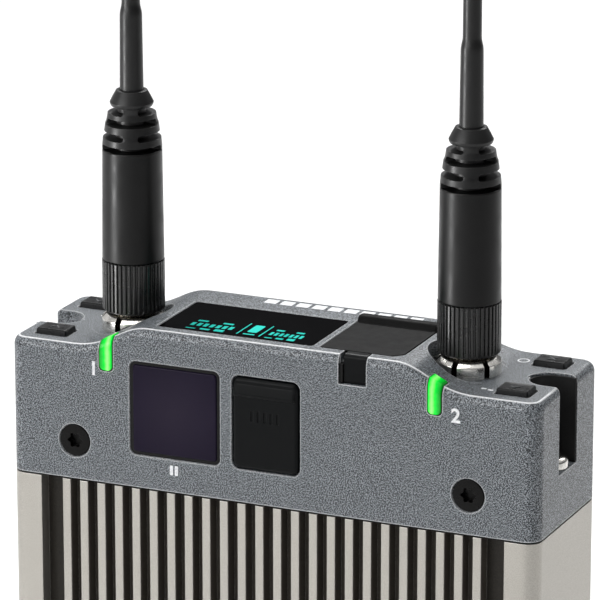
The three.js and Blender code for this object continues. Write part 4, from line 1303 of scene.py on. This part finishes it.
def make_camera():
    data = bpy.data.cameras.new("camera")
    data.sensor_width = SENSOR_WIDTH
    data.lens = CAMERA_LENS
    data.clip_start, data.clip_end = 0.02, 20
    camera = bpy.data.objects.new("camera", data)
    bpy.context.scene.collection.objects.link(camera)
    back = direction(CAMERA_AZIMUTH, CAMERA_ELEVATION)
    camera.location = (CAMERA_TARGET + back * CAMERA_DISTANCE) * MM
    camera.rotation_mode = "QUATERNION"
    camera.rotation_quaternion = (-back).to_track_quat("-Z", "Y")
    bpy.context.scene.camera = camera


def softbox(name, azimuth, elevation, distance, width, height, radiance, aim=(0, 0, 20)):
    """A rectangular light as bright as `radiance`, with its sizes and distance in metres."""
    data = bpy.data.lights.new(name, "AREA")
    data.shape = "RECTANGLE"
    data.size, data.size_y = width, height
    data.energy = radiance * math.pi * width * height
    light = bpy.data.objects.new(name, data)
    bpy.context.scene.collection.objects.link(light)
    middle = (Vector(aim) + Vector((0, 0, SEAM))) * MM
    towards = direction(azimuth, elevation)
    light.location = middle + towards * distance
    light.rotation_mode = "QUATERNION"
    light.rotation_quaternion = (-towards).to_track_quat("-Z", "Y")
    light.visible_camera = False
    return light


def make_floor():
    size = 6.0
    bm = bmesh.new()
    bmesh.ops.create_grid(bm, x_segments=8, y_segments=8, size=size)
    mesh = bpy.data.meshes.new("floor")
    bm.to_mesh(mesh)
    bm.free()
    floor = bpy.data.objects.new("floor", mesh)
    bpy.context.scene.collection.objects.link(floor)
    material = new_material("floor_paper", (0.86, 0.86, 0.86), 0.9)
    tone = ramp(material, grain(material, 3.0, 3.0), [(0.3, 0.86), (0.7, 0.88)])
    link_shader(material, Base_Color=tone)
    mesh.materials.append(material)


def make_light():
    world = bpy.data.worlds.new("studio")
    world.use_nodes = True
    tree = world.node_tree
    place = tree.nodes.new("ShaderNodeTexCoord")
    parts = tree.nodes.new("ShaderNodeSeparateXYZ")
    sky = tree.nodes.new("ShaderNodeValToRGB")
    sky.color_ramp.elements[0].color = (0.1, 0.1, 0.105, 1)
    sky.color_ramp.elements[0].position = 0.32
    sky.color_ramp.elements[1].color = (0.8, 0.8, 0.8, 1)
    tree.links.new(place.outputs["Generated"], parts.inputs[0])
    tree.links.new(parts.outputs["Z"], sky.inputs["Fac"])
    tree.links.new(sky.outputs["Color"], tree.nodes["Background"].inputs["Color"])
    bpy.context.scene.world = world
    softbox("top_box", -30, 76, 0.55, 0.3, 0.3, 2.7)
    softbox("rim_strip", 214, 46, 0.6, 0.7, 0.06, 12.0)
    softbox("key_box", -32, 22, 0.7, 0.6, 0.4, 4.2)
    strip = softbox("left_strip", -50, 2, 0.45, 0.057, 0.2, 38.0, (0, 0, -26))
    strip.light_linking.receiver_collection = STRIP_LIT
    softbox("left_box", -105, 12, 0.5, 0.4, 0.3, 0.45)
    softbox("right_box", 145, 15, 0.6, 0.3, 0.3, 0.2)
    softbox("back_box", 200, 60, 1.3, 1.4, 0.6, 5.0, (150, 480, -110))
    bpy.context.scene.view_settings.view_transform = "Standard"


STRIP_LIT = bpy.data.collections.new("strip_lit")  # the strip light is flagged off all but the antennas

make_camera()
make_floor()
make_light()
head_and_screws()
case()
windows_and_covers()
keys_and_lamps()
prints()
side_slots()
antennas()
dress_cad_nodes()
